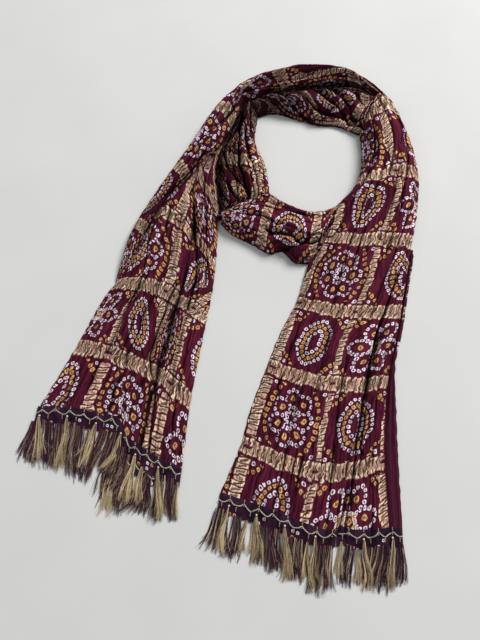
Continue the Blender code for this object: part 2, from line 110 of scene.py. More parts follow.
# Rows of a tucked end: share of its length, and of its height.
TuckRow = namedtuple("TuckRow", "reach height")
TUCK_ROWS = (TuckRow(0.35, 0.86), TuckRow(0.7, 0.62), TuckRow(1.0, 0.35))

# ---- where the cloth is darker, because folds and neighbours take its light ----
# How far below the mean of the columns near it a point starts to darken, and where it is darkest, in mm.
Hollow = namedtuple("Hollow", "columns least most")
HOLLOWS = (Hollow(3, 0.20, 1.3), Hollow(9, 0.6, 3.8))
HOLLOW_GAINS = {"top_inner": 2.6, "inner_left": 1.9, "top_outer": 1.3, "bottom_crossing": 1.3}
SHADED_SIDES = {"top_inner": 60.0, "inner_left": 42.0, "left_tail": 17.0}     # mm from the left side
SHADED_FAR_SIDES = {"top_outer": 5.0}                                         # mm from the right side
SHADED_STARTS = {"top_inner": 0.74, "inner_left": 0.50}                       # share of the length
FAR_SIDE_START = 0.56      # place along from which the far side is shaded
# How dark each shade is, from 0 to 1, and shares of the reach: as far as the near shade is full, and over
# which it fades.
NEAR_SHADE, REACH_SHADE, FAR_SHADE, START_SHADE = 0.96, 0.80, 0.94, 0.95
NEAR_FULL, NEAR_FADE = 0.10, 0.27

# ---- the pattern, in mm on the cloth ----
CELL_WIDTH = 80.0          # from the middle of one ladder to the next
CELL_LENGTH = 88.0         # from the middle of one band to the next
BAND_PLACES = (0.0, 0.25, 0.5, 0.75, 1.0)

Stretch = namedtuple("Stretch", "name left right start end sections folds creases parts bands "
                                "rows columns wrinkles joined_left joined_right tucks flat rests_on")
Section = namedtuple("Section", "along crest left_lip right_lip")
# A fold: from and to (shares along and across), rise or sink, and its width on each side of its line.
Fold = namedtuple("Fold", "start end across_start across_end rise left_width right_width")
# A crease of the sheet alone: a valley or ridge along a line of (along, across) places.
Crease = namedtuple("Crease", "rise left_width right_width line")
# A part of the cloth between two deep folds, which hide some of it: the number of one of its lengthwise
# ladders of the check, and rows of Ladder places.  Of these, edge is where the part begins (across, or past 1
# where there is none of it), place is where its ladder lies or would lie, and pitch the share of the width
# from one ladder to the next.
ClothPart = namedtuple("ClothPart", "number rows")
Ladder = namedtuple("Ladder", "along edge place pitch")
WHOLE = -1.0               # edge of a part that begins at the left side
# Places along of a crosswise band of the check, at 0, 1/4, 1/2, 3/4 and 1 of the width.
Band = namedtuple("Band", "number left near_left middle near_right right")


def table(kind, *rows):
    """The rows, with the kind's named columns."""
    return [kind(*row) for row in rows]


def creases(*rows):
    """Creases from rows of rise, left width, right width and the line's places."""
    return [Crease(*row[:3], np.array(row[3:], float)) for row in rows]


def first_part(number, *rows):
    """The part of the cloth at the left side, from rows of along, place and pitch."""
    return ClothPart(number, [Ladder(along, WHOLE, place, pitch) for along, place, pitch in rows])


def next_part(number, *rows):
    """A further part of the cloth, from rows of along, edge, place and pitch."""
    return ClothPart(number, table(Ladder, *rows))


LEFT_TAIL = Stretch(
    "left_tail", SHOULDER[::-1] + OUTER_LEFT[1:], LEFT_TAIL_INNER_TOP + LEFT_TAIL_INNER_LOW,
    [SHOULDER[-1], LEFT_TAIL_INNER_TOP[0]], LEFT_HEM,
    table(Section, (0, 24, 20, 20), (0.15, 24, 18, 12), (0.35, 20, 12, 9), (0.55, 14, 6, 6), (0.8, 9, 4, 4),
          (1, 5.5, 3, 3)),
    table(Fold, (0, 0.66, 0.62, 0.68, -8.5, 9, 10), (0.05, 0.95, 0.3, 0.24, -3.5, 11, 4),
          (0.2, 1, 0.46, 0.42, -3.5, 9, 4), (0.1, 0.8, 0.4, 0.34, 3, 9, 5),
          (0.55, 1, 0.68, 0.72, -4.5, 4, 9), (0.4, 1, 0.64, 0.69, 4, 10, 2.5),
          (0.05, 0.6, 0.84, 0.88, 5, 2.5, 8), (0.1, 0.9, 0.76, 0.84, -3, 8, 3),
          (0.5, 1, 0.12, 0.12, 3, 10, 4), (0.62, 1, 0.93, 0.92, 2.5, 6, 3), (0, 0.45, 0.2, 0.14, 3, 2, 7),
          (0.02, 0.55, 0.07, 0.06, 2.5, 1.6, 5), (0.05, 0.5, 0.52, 0.55, 3, 6, 2),
          (0.1, 0.6, 0.74, 0.78, 3.5, 2, 6)),
    creases((-7.5, 12, 3.2, (0.05, 0.3), (0.12, 0.42), (0.19, 0.5), (0.24, 0.59), (0.32, 0.69),
             (0.38, 0.755), (0.43, 0.786), (0.48, 0.8), (0.59, 0.79)),
            (3.5, 2.2, 5, (0.06, 0.37), (0.12, 0.49), (0.2, 0.61), (0.28, 0.71), (0.35, 0.81), (0.42, 0.84),
             (0.5, 0.85)),
            (-5, 2.6, 2.2, (0.1, 0.62), (0.2, 0.76), (0.3, 0.85), (0.4, 0.9), (0.5, 0.92)),
            (-5, 1.8, 4, (0.46, 0.63), (0.55, 0.604), (0.74, 0.6), (0.8, 0.69), (0.83, 0.723),
             (0.88, 0.742), (0.94, 0.761), (1, 0.78)),
            (1.8, 6, 1.8, (0.48, 0.6), (0.55, 0.58), (0.74, 0.575), (0.8, 0.66), (0.88, 0.71), (1, 0.75)),
            (-5, 3, 2, (0.2, 0.02), (0.3, 0.08), (0.38, 0.13), (0.45, 0.18), (0.5, 0.22), (0.55, 0.252),
             (0.64, 0.262)),
            (2.4, 2, 6, (0.26, 0.14), (0.38, 0.21), (0.5, 0.3), (0.56, 0.33)),
            (-3.5, 2, 4, (0.14, 0.12), (0.24, 0.2), (0.31, 0.27), (0.36, 0.3)),
            (-3, 2, 1.4, (0.25, 0.045), (0.45, 0.05), (0.62, 0.04)),
            (2.2, 2.6, 1.6, (0.32, 0.09), (0.46, 0.1), (0.6, 0.09)),
            (-2, 3.5, 1.2, (0.56, 0.13), (0.78, 0.12), (1, 0.15)),
            (-2.4, 1.2, 4, (0.62, 0.36), (0.78, 0.37), (0.92, 0.4)),
            (-1.8, 4, 1.2, (0.7, 0.47), (0.85, 0.5), (1, 0.52)),
            (-2.4, 3, 1.3, (0.56, 0.88), (0.78, 0.9), (1, 0.91)),
            (-2.6, 1.4, 3, (0.6, 0.71), (0.7, 0.715), (0.79, 0.74)),
            (-2.4, 1.4, 2.4, (0.74, 0.63), (0.8, 0.61), (0.86, 0.615)),
            (1.8, 1.2, 4, (0.8, 0.22), (0.9, 0.2), (1, 0.21))),
    [first_part(0, (0, 0.1, 0.6), (0.3, 0.3, 0.45), (0.42, 0.26, 0.4), (0.5, 0.245, 0.33),
                (0.55, 0.25, 0.295), (0.6, 0.255, 0.33), (0.66, 0.253, 0.344), (0.75, 0.262, 0.42),
                (0.81, 0.277, 0.46), (0.9, 0.285, 0.465), (1, 0.3, 0.465)),
     next_part(1, (0, 0, 0.25, 0.8), (0.15, 0, 0.33, 0.85), (0.23, 0.02, 0.42, 0.82),
               (0.305, 0.08, 0.447, 0.8), (0.375, 0.13, 0.49, 0.76), (0.45, 0.18, 0.528, 0.66),
               (0.5, 0.22, 0.541, 0.45), (0.55, 0.252, 0.545, 0.295), (0.6, 0.26, 0.585, 0.33),
               (0.66, 0.26, 0.597, 0.344), (0.75, 0.26, 0.682, 0.42), (0.81, 0.27, 0.737, 0.46),
               (0.9, 0.28, 0.75, 0.465), (1, 0.3, 0.765, 0.465)),
     next_part(2, (0, 2, 0.811, 0.21), (0.47, 2, 0.811, 0.21), (0.475, 0.8, 0.811, 0.21),
               (0.505, 0.604, 0.811, 0.208), (0.74, 0.6, 0.811, 0.211), (0.77, 0.64, 0.811, 0.26),
               (0.8, 0.69, 0.811, 0.32), (0.83, 0.723, 0.811, 0.4), (0.88, 0.742, 0.811, 0.43),
               (0.94, 0.761, 0.811, 0.435), (1, 0.78, 0.815, 0.44)),
     next_part(2, (0, 0.25, 0.92, 0.6), (0.12, 0.42, 0.97, 0.6), (0.19, 0.5, 1.02, 0.6),
               (0.24, 0.59, 1.03, 0.55), (0.32, 0.69, 1.05, 0.52), (0.375, 0.755, 1.06, 0.5),
               (0.425, 0.786, 1.06, 0.46), (0.48, 0.8, 1.04, 0.42), (0.53, 0.8, 0.92, 0.5),
               (0.58, 0.812, 0.812, 0.55), (0.66, 0.812, 0.812, 0.53), (0.8, 0.812, 0.812, 0.46),
               (1, 0.815, 0.815, 0.43))],
    table(Band, (-1, -0.2, -0.18, -0.12, -0.08, -0.02), (0, 0, 0.05, 0.11, 0.165, 0.22),
          (1, 0.27, 0.282, 0.306, 0.345, 0.41), (2, 0.556, 0.533, 0.532, 0.548, 0.568),
          (3, 0.78, 0.774, 0.78, 0.776, 0.811), (4, 1.1, 1.08, 1.07, 1.08, 1.08)),
    rows=190, columns=150, wrinkles=50, joined_left=(0, 0.52), joined_right=(0, 0.26),
    tucks=(12, 1.5), flat=(0.16, 0.41), rests_on=("top_outer",))

TOP_OUTER = Stretch(
    "top_outer", OUTER_TOP, SHOULDER + SHOULDER_TOP[1:] + GROOVE[1:] + TUCK[1:],
    [OUTER_TOP[0], SHOULDER[0]], [OUTER_TOP[-1], TUCK[-1]],
    table(Section, (0, 7, 5, 5), (0.12, 20, 8, 8), (0.3, 31, 12, 14), (0.5, 33, 14, 18), (0.7, 31, 14, 20),
          (0.88, 27, 12, 18), (1, 9, 6, 8)),
    table(Fold, (0.08, 0.46, 0.3, 0.22, -4, 3, 8), (0.3, 0.72, 0.62, 0.4, -4, 8, 3),
          (0.16, 0.52, 0.74, 0.82, 3.5, 2, 8), (0.55, 0.95, 0.66, 0.6, -3.5, 6, 3),
          (0.48, 0.8, 0.2, 0.26, 3, 8, 3), (0.05, 0.4, 0.12, 0.16, 2.5, 5, 1.6),
          (0.62, 0.92, 0.44, 0.36, 3, 2, 6), (0.4, 0.66, 0.84, 0.72, -3, 4, 3)),
    creases((-5.5, 1.6, 5, (0.12, 0.3), (0.18, 0.7), (0.225, 0.9), (0.27, 0.93), (0.33, 0.93), (0.4, 0.86)),
            (-3, 2, 3, (0.02, 0.45), (0.12, 0.52), (0.2, 0.5)),
            (-4.5, 2.2, 4, (0.3, 0.5), (0.4, 0.62), (0.5, 0.8), (0.56, 0.9)),
            (-3, 3.5, 1.6, (0.2, 0.22), (0.34, 0.16), (0.46, 0.2)),
            (-4.5, 2.4, 3, (0.52, 0.62), (0.62, 0.8), (0.7, 0.9)),
            (-2.5, 1.5, 3, (0.7, 0.84), (0.75, 0.6), (0.8, 0.48), (0.86, 0.4)),
            (-2.5, 2.5, 1.4, (0.6, 0.3), (0.72, 0.24), (0.84, 0.2)),
            (-12, 7, 9, (0.84, 0.46), (0.92, 0.62), (1, 0.74)),
            (-5, 3, 3, (0.6, 0.97), (0.7, 0.95), (0.84, 0.93)),
            (-4.5, 2.2, 3, (0.84, 0.2), (0.92, 0.3), (1, 0.42))),
    [first_part(0, (0, 1.14, 1.28), (0.63, 1.12, 1.24), (0.69, 0.78, 0.95), (0.745, 0.67, 0.92),
                (0.784, 0.6, 0.9), (0.826, 0.51, 0.9), (0.87, 0.44, 1), (1, 0.22, 1.3)),
     next_part(0, (0, WHOLE, -0.16, 1.34), (0.44, WHOLE, -0.14, 1.28), (0.452, -0.05, -0.14, 1.28),
               (0.468, 0.25, -0.14, 1.28), (0.48, 0.5, -0.14, 1.28), (0.492, 0.75, -0.14, 1.28),
               (0.505, 1.01, -0.14, 1.28), (0.506, 2, -0.14, 1.28), (1, 2, -0.14, 1.28))],
    table(Band, (-1, -0.04, -0.04, -0.04, -0.04, -0.04), (0, 0.125, 0.127, 0.13, 0.134, 0.14),
          (1, 0.28, 0.284, 0.29, 0.297, 0.305), (2, 0.455, 0.468, 0.48, 0.492, 0.505),
          (3, 0.63, 0.642, 0.66, 0.676, 0.695), (4, 0.84, 0.844, 0.85, 0.858, 0.866),
          (5, 1.04, 1.04, 1.04, 1.04, 1.04)),
    rows=260, columns=72, wrinkles=30, joined_left=(2, 2), joined_right=(0, 1),
    tucks=(6, 6), flat=(0.065, 0.6), rests_on=())

INNER_LEFT = Stretch(
    "inner_left", INNER_SIDE, OPENING_LEFT, [INNER_SIDE[0], OPENING_LEFT[0]], CROSSING_SEAM,
    table(Section, (0, 22, 16, 10), (0.35, 25, 16, 9), (0.75, 24, 10, 9), (1, 19, 8, 12)),
    table(Fold, (0.05, 0.95, 0.25, 0.42, -6, 7, 6), (0, 0.9, 0.45, 0.66, 3.5, 7, 2),
          (0.15, 1, 0.6, 0.8, -3.5, 2.5, 7), (0.45, 1, 0.12, 0.2, 3, 7, 2),
          (0.2, 0.9, 0.32, 0.55, 3, 1.8, 5), (0.1, 0.7, 0.16, 0.26, -3, 3, 4)),
    creases((-12, 6, 6, (0.06, 0.1), (0.2, 0.28), (0.37, 0.465), (0.55, 0.455), (0.7, 0.478), (0.89, 0.547),
             (1, 0.6)),
            (-9, 5, 3.5, (0.3, 0.06), (0.46, 0.1), (0.67, 0.226), (0.79, 0.42), (0.93, 0.54)),
            (3.5, 3, 2.2, (0.4, 0.24), (0.6, 0.33), (0.78, 0.47), (0.9, 0.52)),
            (-8, 4, 4, (0.1, 0.3), (0.3, 0.6), (0.5, 0.68), (0.66, 0.66)),
            (-7, 3.6, 4, (0.02, 0.45), (0.18, 0.72), (0.36, 0.86)),
            (-8, 4, 4, (0.6, 0.05), (0.76, 0.14), (0.9, 0.26), (1, 0.4)),
            (-6, 3.5, 3.5, (0.76, 0.02), (0.88, 0.1), (1, 0.2)),
            (-3.5, 2.5, 2.5, (0.62, 0.6), (0.8, 0.66), (1, 0.7)),
            (-2.5, 2, 2, (0.72, 0.95), (0.86, 0.88), (1, 0.86))),
    [first_part(0, (0, -0.2, 1), (0.5, -0.25, 0.62), (1, -0.3, 0.7)),
     next_part(0, (0, 0.02, 0.3, 0.6), (0.3, 0.06, 0.3, 0.5), (0.42, 0.09, 0.22, 0.46),
               (0.5, 0.12, 0.13, 0.45), (0.67, 0.226, 0.235, 0.42), (0.79, 0.42, 0.43, 0.4),
               (1, 0.56, 0.57, 0.4)),
     next_part(1, (0, 0.06, 1.1, 1.6), (0.2, 0.28, 1.06, 1.3), (0.37, 0.465, 1.05, 1.1),
               (0.55, 0.455, 1, 1.15), (0.7, 0.478, 0.915, 1.15), (0.8, 0.51, 0.81, 1.1),
               (1, 0.6, 0.74, 1.1))],
    table(Band, (0, -0.5, -0.48, -0.46, -0.44, -0.4), (1, 0.02, 0.05, 0.08, 0.12, 0.16),
          (2, 0.54, 0.59, 0.635, 0.69, 0.74), (3, 1.1, 1.16, 1.22, 1.28, 1.34)),
    rows=100, columns=80, wrinkles=40, joined_left=(0, 1), joined_right=(2, 2),
    tucks=(8, 7), flat=(0.09, 0.17), rests_on=("bottom_crossing",))

TOP_INNER = Stretch(
    "top_inner", INNER_GROOVE, OPENING_TOP, [INNER_GROOVE[0], OPENING_TOP[0]], TWIST[::-1],
    table(Section, (0, 22, 18, 10), (0.3, 23, 16, 8), (0.7, 22, 14, 8), (1, 26, 18, 14)),
    table(Fold, (0, 0.98, 0.1, 0.16, -6, 7, 9), (0.1, 0.95, 0.62, 0.7, 2.5, 8, 4),
          (0.1, 0.9, 0.88, 0.9, 2, 3, 4)),
    creases((-8, 8, 7, (0.04, 0.1), (0.12, 0.55), (0.22, 0.9)),
            (-9.5, 9, 7, (0.18, 0.02), (0.27, 0.45), (0.34, 0.78), (0.45, 0.9), (0.57, 0.97)),
            (-10.5, 8, 8, (0.34, 0.02), (0.42, 0.35), (0.5, 0.64), (0.62, 0.8), (0.78, 0.85), (0.95, 0.89)),
            (-10, 8, 8, (0.46, 0.04), (0.556, 0.264), (0.672, 0.566), (0.8, 0.76), (0.91, 0.86)),
            (-14, 11, 9, (0.6, 0.04), (0.703, 0.277), (0.803, 0.572), (0.907, 0.79), (0.988, 0.855)),
            (2.5, 3, 4, (0.26, 0.2), (0.36, 0.58), (0.48, 0.78)),
            (3, 3, 4, (0.52, 0.06), (0.64, 0.34), (0.76, 0.6)),
            (-6, 5, 4, (0.76, 0.1), (0.86, 0.34), (0.96, 0.56))),
    [first_part(1, (0, 0, 1.14), (0.42, 0, 1.12), (0.52, 0, 0.99), (1, 0, 0.97))],
    table(Band, (-1, -0.3, -0.28, -0.25, -0.2, -0.15), (0, 0.02, 0.05, 0.09, 0.14, 0.18),
          (1, 0.36, 0.41, 0.455, 0.55, 0.62), (2, 0.9, 0.93, 0.955, 0.925, 0.875),
          (3, 1.3, 1.34, 1.38, 1.36, 1.32)),
    rows=116, columns=76, wrinkles=30, joined_left=(0, 1), joined_right=(2, 2),
    tucks=(8, 8), flat=(0.09, 0.19), rests_on=("top_outer",))

BOTTOM_CROSSING = Stretch(
    "bottom_crossing", CROSSING_SEAM + OPENING_BOTTOM[1:], CROSSING_LOW,
    [CROSSING_SEAM[0], CROSSING_LOW[0]], [OPENING_BOTTOM[-1], TAIL_LEFT[1], CROSSING_LOW[-1]],
    table(Section, (0, 17, 12, 8), (0.2, 25, 14, 7), (0.6, 29, 12, 7), (1, 25, 12, 8)),
    table(Fold, (0.15, 1, 0.3, 0.22, -3, 7, 4), (0.2, 1, 0.52, 0.58, 3, 8, 3),
          (0.45, 1, 0.74, 0.7, -5.5, 6, 7), (0.1, 0.8, 0.16, 0.12, 2.5, 5, 1.6),
          (0.55, 1, 0.86, 0.82, 3, 3, 6)),
    creases((-3.5, 1.6, 3.5, (0.4, 0.42), (0.49, 0.36), (0.67, 0.24), (0.8, 0.18), (0.92, 0.16)),
            (-7.5, 2, 8, (0.66, 1), (0.76, 0.9), (0.83, 0.79), (0.89, 0.65), (0.97, 0.47)),
            (2, 5, 2, (0.6, 0.92), (0.72, 0.82), (0.8, 0.7), (0.92, 0.5)),
            (-2.6, 3, 1.6, (0.1, 0.4), (0.26, 0.46), (0.42, 0.6)),
            (-3, 2, 3, (0.05, 0.75), (0.2, 0.84), (0.4, 0.9)),
            (-2.2, 1.4, 3, (0.55, 0.62), (0.7, 0.52), (0.84, 0.4)),
            (-3, 2, 2, (0.02, 0.2), (0.14, 0.18), (0.28, 0.1))),
    [first_part(1, (0, 0, 1.1), (0.6, 0.03, 1.06), (1, 0.03, 1.04))],
    table(Band, (-1, -0.4, -0.44, -0.48, -0.52, -0.56), (0, 0.02, -0.02, -0.06, -0.08, -0.1),
          (1, 0.51, 0.495, 0.475, 0.478, 0.48), (2, 0.86, 0.9, 0.93, 0.98, 1.05),
          (3, 1.2, 1.3, 1.4, 1.5, 1.6)),
    rows=104, columns=90, wrinkles=30, joined_left=(0, 0.42), joined_right=(2, 2),
    tucks=(6, 8), flat=(0.105, 0.155), rests_on=("left_tail",))

RIGHT_TAIL = Stretch(
    "right_tail", OPENING_RIGHT + TAIL_LEFT[1:], TAIL_RIGHT + STRIP_LEFT[1:], COLUMN_TOP, RIGHT_HEM,
    table(Section, (0, 28, 16, 16), (0.1, 37, 12, 14), (0.28, 36, 10, 11), (0.42, 24, 12, 8),
          (0.6, 14, 6, 6), (0.8, 9, 4, 4.5), (1, 5.5, 3, 3.5)),
    table(Fold, (0.02, 0.4, 0.28, 0.16, -4, 3, 8), (0.04, 0.45, 0.7, 0.8, 4, 8, 3),
          (0.36, 1, 0.97, 0.72, -4.5, 7, 4), (0.52, 0.92, 0.84, 0.84, -3.5, 7, 3),
          (0.1, 0.7, 0.48, 0.42, -3, 9, 5), (0.3, 1, 0.26, 0.28, 3, 9, 6), (0.45, 1, 0.12, 0.14, -2.5, 8, 5),
          (0.5, 1, 0.5, 0.54, 2.5, 10, 6), (0.4, 0.95, 0.62, 0.64, -2.5, 5, 7),
          (0.6, 1, 0.4, 0.42, -2.5, 8, 4), (0.45, 1, 0.9, 0.92, 3, 8, 3), (0.02, 0.3, 0.36, 0.26, 2.5, 2, 7),
          (0.12, 0.4, 0.58, 0.62, -2.5, 3, 6), (0.4, 1, 0.955, 0.7, 3, 2, 5)),
    creases((-9, 2.2, 2.4, (0.42, 0.92), (0.45, 0.9), (0.57, 0.824), (0.6, 0.818), (0.7, 0.84),
             (0.85, 0.805), (0.94, 0.774), (1, 0.745)),
            (2, 2, 6, (0.45, 0.94), (0.57, 0.87), (0.7, 0.885), (0.85, 0.85), (1, 0.8)),
            (-6, 1.6, 1.8, (0.82, 0.83), (0.857, 0.855), (0.89, 0.89)),
            (-4, 2.4, 4, (0, 0.3), (0.1, 0.24), (0.22, 0.18), (0.34, 0.16)),
            (-3.5, 3, 2, (0, 0.55), (0.12, 0.6), (0.24, 0.6)),
            (-4.5, 4, 2.2, (0.02, 0.76), (0.16, 0.8), (0.34, 0.78), (0.44, 0.74)),
            (-3, 4, 1.4, (0.2, 0.4), (0.34, 0.37), (0.48, 0.35), (0.6, 0.36)),
            (-3.5, 3, 1.6, (0.26, 0.9), (0.4, 0.84), (0.5, 0.76), (0.6, 0.7)),
            (-2.4, 3.5, 1.2, (0.4, 0.16), (0.6, 0.14), (0.8, 0.16), (1, 0.19)),
            (-2, 1.2, 3.5, (0.5, 0.27), (0.7, 0.28), (0.92, 0.31)),
            (-2.6, 3.5, 1.4, (0.58, 0.43), (0.78, 0.44), (1, 0.43)),
            (-2.4, 1.3, 4, (0.62, 0.62), (0.8, 0.64), (1, 0.63)),
            (1.8, 4, 1.2, (0.7, 0.69), (0.86, 0.7), (1, 0.685)),
            (1.8, 1.2, 4, (0.46, 0.48), (0.6, 0.47), (0.7, 0.49)),
            (-2.4, 1.4, 2.6, (0.66, 0.93), (0.84, 0.92), (1, 0.9)),
            (-2.2, 2, 1.4, (0.3, 0.06), (0.46, 0.08), (0.6, 0.07))),
    [first_part(1, (0, -0.33, 0.83), (0.13, -0.3, 0.785), (0.2, -0.16, 0.77), (0.26, 0.06, 0.65),
                (0.3, 0.126, 0.554), (0.37, 0.105, 0.535), (0.46, 0.045, 0.585), (0.54, 0.022, 0.543),
                (0.62, 0.04, 0.49), (0.75, 0.042, 0.5), (0.87, 0.045, 0.475), (1, 0.08, 0.41)),
     next_part(2, (0, 0.5, 0.5, 1), (0.13, 0.485, 0.485, 0.94), (0.2, 0.61, 0.61, 0.81),
               (0.26, 0.71, 0.71, 0.69), (0.3, 0.68, 0.68, 0.65), (0.37, 0.64, 0.64, 0.62),
               (0.46, 0.63, 0.63, 0.62), (0.54, 0.565, 0.565, 0.6), (0.62, 0.53, 0.53, 0.55),
               (0.75, 0.543, 0.543, 0.5), (0.87, 0.52, 0.52, 0.46), (1, 0.49, 0.49, 0.42)),
     next_part(3, (0, 2, 1.3, 0.62), (0.42, 2, 1.3, 0.62), (0.44, 0.905, 1.3, 0.62),
               (0.57, 0.824, 1.15, 0.58), (0.6, 0.818, 1.1, 0.55), (0.7, 0.84, 1.06, 0.51),
               (0.85, 0.805, 1, 0.47), (0.94, 0.774, 0.985, 0.44), (1, 0.745, 0.985, 0.42))],
    table(Band, (1, -0.18, -0.16, -0.15, -0.14, -0.14), (2, -0.03, 0.008, 0.03, 0.03, 0.044),
          (3, 0.15, 0.2, 0.222, 0.207, 0.18), (4, 0.345, 0.373, 0.385, 0.381, 0.36),
          (5, 0.525, 0.547, 0.556, 0.552, 0.535), (6, 0.695, 0.713, 0.72, 0.716, 0.7),
          (7, 0.88, 0.897, 0.9, 0.889, 0.865), (8, 1.07, 1.087, 1.09, 1.078, 1.05)),
    rows=240, columns=160, wrinkles=60, joined_left=(0.26, 0.42), joined_right=(0.37, 1),
    tucks=(7, 1.5), flat=(0.165, 0.57), rests_on=("top_outer", "bottom_crossing"))

RIGHT_TAIL_UNDER = Stretch(
    "right_tail_under", STRIP_LEFT, STRIP_RIGHT, [STRIP_LEFT[0], STRIP_RIGHT[0]],
    [STRIP_LEFT[-1], STRIP_RIGHT[-1]],
    table(Section, (0, 7.5, 6, 5), (0.5, 5, 3.5, 3), (1, 3.2, 2.4, 2)),
    table(Fold, (0.1, 1, 0.3, 0.36, 1.2, 3, 1.5), (0, 0.8, 0.62, 0.55, -1.2, 3, 2),
          (0.3, 1, 0.78, 0.74, 0.9, 2, 3)),
    [],
    [first_part(0, (0, 0, 0.5), (1, 0, 0.5))],
    table(Band, (0, 0, 0, 0, 0, 0), (1, 1, 1, 1, 1, 1)),
    rows=150, columns=26, wrinkles=4, joined_left=(0, 1), joined_right=(2, 2),
    tucks=(4, 1.5), flat=(0.02, 0.35), rests_on=())

STRETCHES = (LEFT_TAIL, TOP_OUTER, INNER_LEFT, TOP_INNER, BOTTOM_CROSSING, RIGHT_TAIL, RIGHT_TAIL_UNDER)

# ---- the laces ----
# A lace: the stretches whose hem it follows, the share of that hem that it covers, the way from the hem to
# the tips, its strip (distance from the hem, depth, and height where it isn't the hem's own), the height of
# its tassels' undersides along it, its runs of wavy thread and its tassels.
Lace = namedtuple("Lace", "name stretches start end down offset depth height feet waves tassels "
                          "flat rests_on")
# A run of the wavy thread, in mm along the hem: from, to, the place of one peak, and from peak to peak.
Wave = namedtuple("Wave", "start end peak pitch")
# A tassel: its kind, its root (mm along the hem, and mm from it), its length, its lean (degrees) and how wide
# its tips spread.
Tassel = namedtuple("Tassel", "kind place drop length lean spread")
GOLD, PLUM = 0.0, 1.0
LACE_GAP = 0.8             # from the hem to the lace
LACE_DEPTH = 17.0          # from the hem to the strip's outer edge
LACE_FOOT = 0.6            # height of the tassels' undersides on the surface
LAYER_FOOT = 1.9           # and over a lower layer of lace
LEVEL = [(0, LACE_FOOT), (1, LACE_FOOT)]
OVER_LAYER = [(0, LACE_FOOT), (0.44, LACE_FOOT), (0.47, LAYER_FOOT), (0.89, LAYER_FOOT), (0.92, LACE_FOOT),
              (1, LACE_FOOT)]
LACES = (
    Lace("left_lace", ["left_tail"], 0, 1, (-0.12, -1), LACE_GAP, LACE_DEPTH - LACE_GAP, None, OVER_LAYER,
         table(Wave, (0, 101, 7, 16.7), (117, 196.5, 136, 15.4)),
         table(Tassel, (PLUM, 2, 14, 46, 0, 12), (GOLD, 5, 9, 54, -8, 17), (PLUM, 11, 12, 54, -9, 15),
               (PLUM, 19, 15, 52, -8, 11), (PLUM, 30, 16, 46, -6, 10), (GOLD, 38, 9, 62, -6, 18),
               (PLUM, 46, 13, 60, -5, 14), (PLUM, 55, 15, 62, -4, 12), (GOLD, 66, 16, 44, 4, 8),
               (GOLD, 73, 10, 50, 6, 17), (PLUM, 83, 14, 58, 10, 9), (PLUM, 92, 15, 48, 8, 12),
               (PLUM, 99, 13, 50, 12, 13), (GOLD, 108, 8, 44, 17, 14), (PLUM, 117, 13, 44, 12, 10),
               (PLUM, 127, 14, 46, 8, 9), (GOLD, 137, 10, 52, 0, 11), (GOLD, 148, 16, 46, 2, 12),
               (PLUM, 158, 15, 50, 27, 9), (GOLD, 168, 9, 52, -3, 16), (PLUM, 174, 13, 50, -8, 7),
               (PLUM, 184, 12, 46, -5, 8), (GOLD, 193, 13, 42, -4, 8)),
         flat=(0.2, 0.022), rests_on=("left_tail", "left_tail_under")),
    Lace("left_tail_under", ["left_tail"], 0.5, 0.86, (-0.12, -1), LACE_DEPTH + LACE_GAP, 12, 1.6, LEVEL,
         table(Wave, (14, 70, 24, 16)),
         table(Tassel, (PLUM, 2, 34, 52, 18, 8), (GOLD, 8, 32, 60, 6, 15), (PLUM, 22, 30, 50, 4, 9),
               (GOLD, 40, 30, 40, 2, 12), (PLUM, 58, 30, 38, 0, 10)),
         flat=(0.072, 0.012), rests_on=()),
    Lace("right_lace_inner", ["right_tail", "right_tail_under"], 0, 0.645, (-0.16, -1),
         LACE_GAP, LACE_DEPTH - LACE_GAP, None, LEVEL,
         table(Wave, (0, 136, 12, 16.8)),
         table(Tassel, (PLUM, 3, 13, 48, 14, 10), (GOLD, 12, 9, 50, 5, 16), (PLUM, 23, 15, 44, -2, 10),
               (GOLD, 34, 16, 36, 0, 8), (GOLD, 44, 9, 52, 2, 20), (PLUM, 51, 16, 40, -2, 8),
               (PLUM, 60, 15, 50, -18, 9), (PLUM, 68, 14, 42, -8, 10), (GOLD, 77, 9, 56, -17, 15),
               (PLUM, 87, 15, 40, -4, 10), (PLUM, 97, 14, 44, -7, 14), (GOLD, 104, 15, 38, -4, 9),
               (GOLD, 112, 8, 50, -12, 15), (PLUM, 120, 14, 46, -8, 11), (PLUM, 128, 12, 44, -9, 10)),
         flat=(0.135, 0.022), rests_on=("right_tail",)),
    Lace("right_lace_outer", ["right_tail", "right_tail_under"], 0.645, 1, (-0.04, -1),
         LACE_GAP, LACE_DEPTH - LACE_GAP, None, LEVEL,
         table(Wave, (3, 74, 15, 16)),
         table(Tassel, (GOLD, 6, 13, 40, 8, 10), (PLUM, 16, 13, 44, 7, 10), (GOLD, 24, 15, 42, 3, 8),
               (GOLD, 31, 8, 46, 4, 13), (PLUM, 38, 15, 40, 8, 8), (PLUM, 48, 14, 42, 15, 9),
               (PLUM, 56, 14, 46, 6, 12), (GOLD, 63, 8, 50, 6, 15), (PLUM, 71, 13, 42, 2, 8)),
         flat=(0.076, 0.022), rests_on=("right_tail",)))
STRIP_LAP = 4.6            # mm of the strip that lies on the cloth
STRIP_LIFT = 0.9           # of its inner edge above the hem
STRIP_EDGE = 1.2           # height of the strip's outer edge above its foot
STRIP_THICKNESS = 0.4
STRIP_ROWS = 18
STRIP_COLUMNS = 1.2        # for each mm along the hem
LEAST_STRIP_HEIGHT = 0.9
SCALLOP_PITCH = 8.4
SCALLOP_DEPTH = 1.4
WAVE_DEPTH = 5.0
WAVE_RADIUS = 0.66
WAVE_POINTS = 2            # for each mm along the hem
TUBE_SIDES = 6
BEAD_RADIUS = 0.70
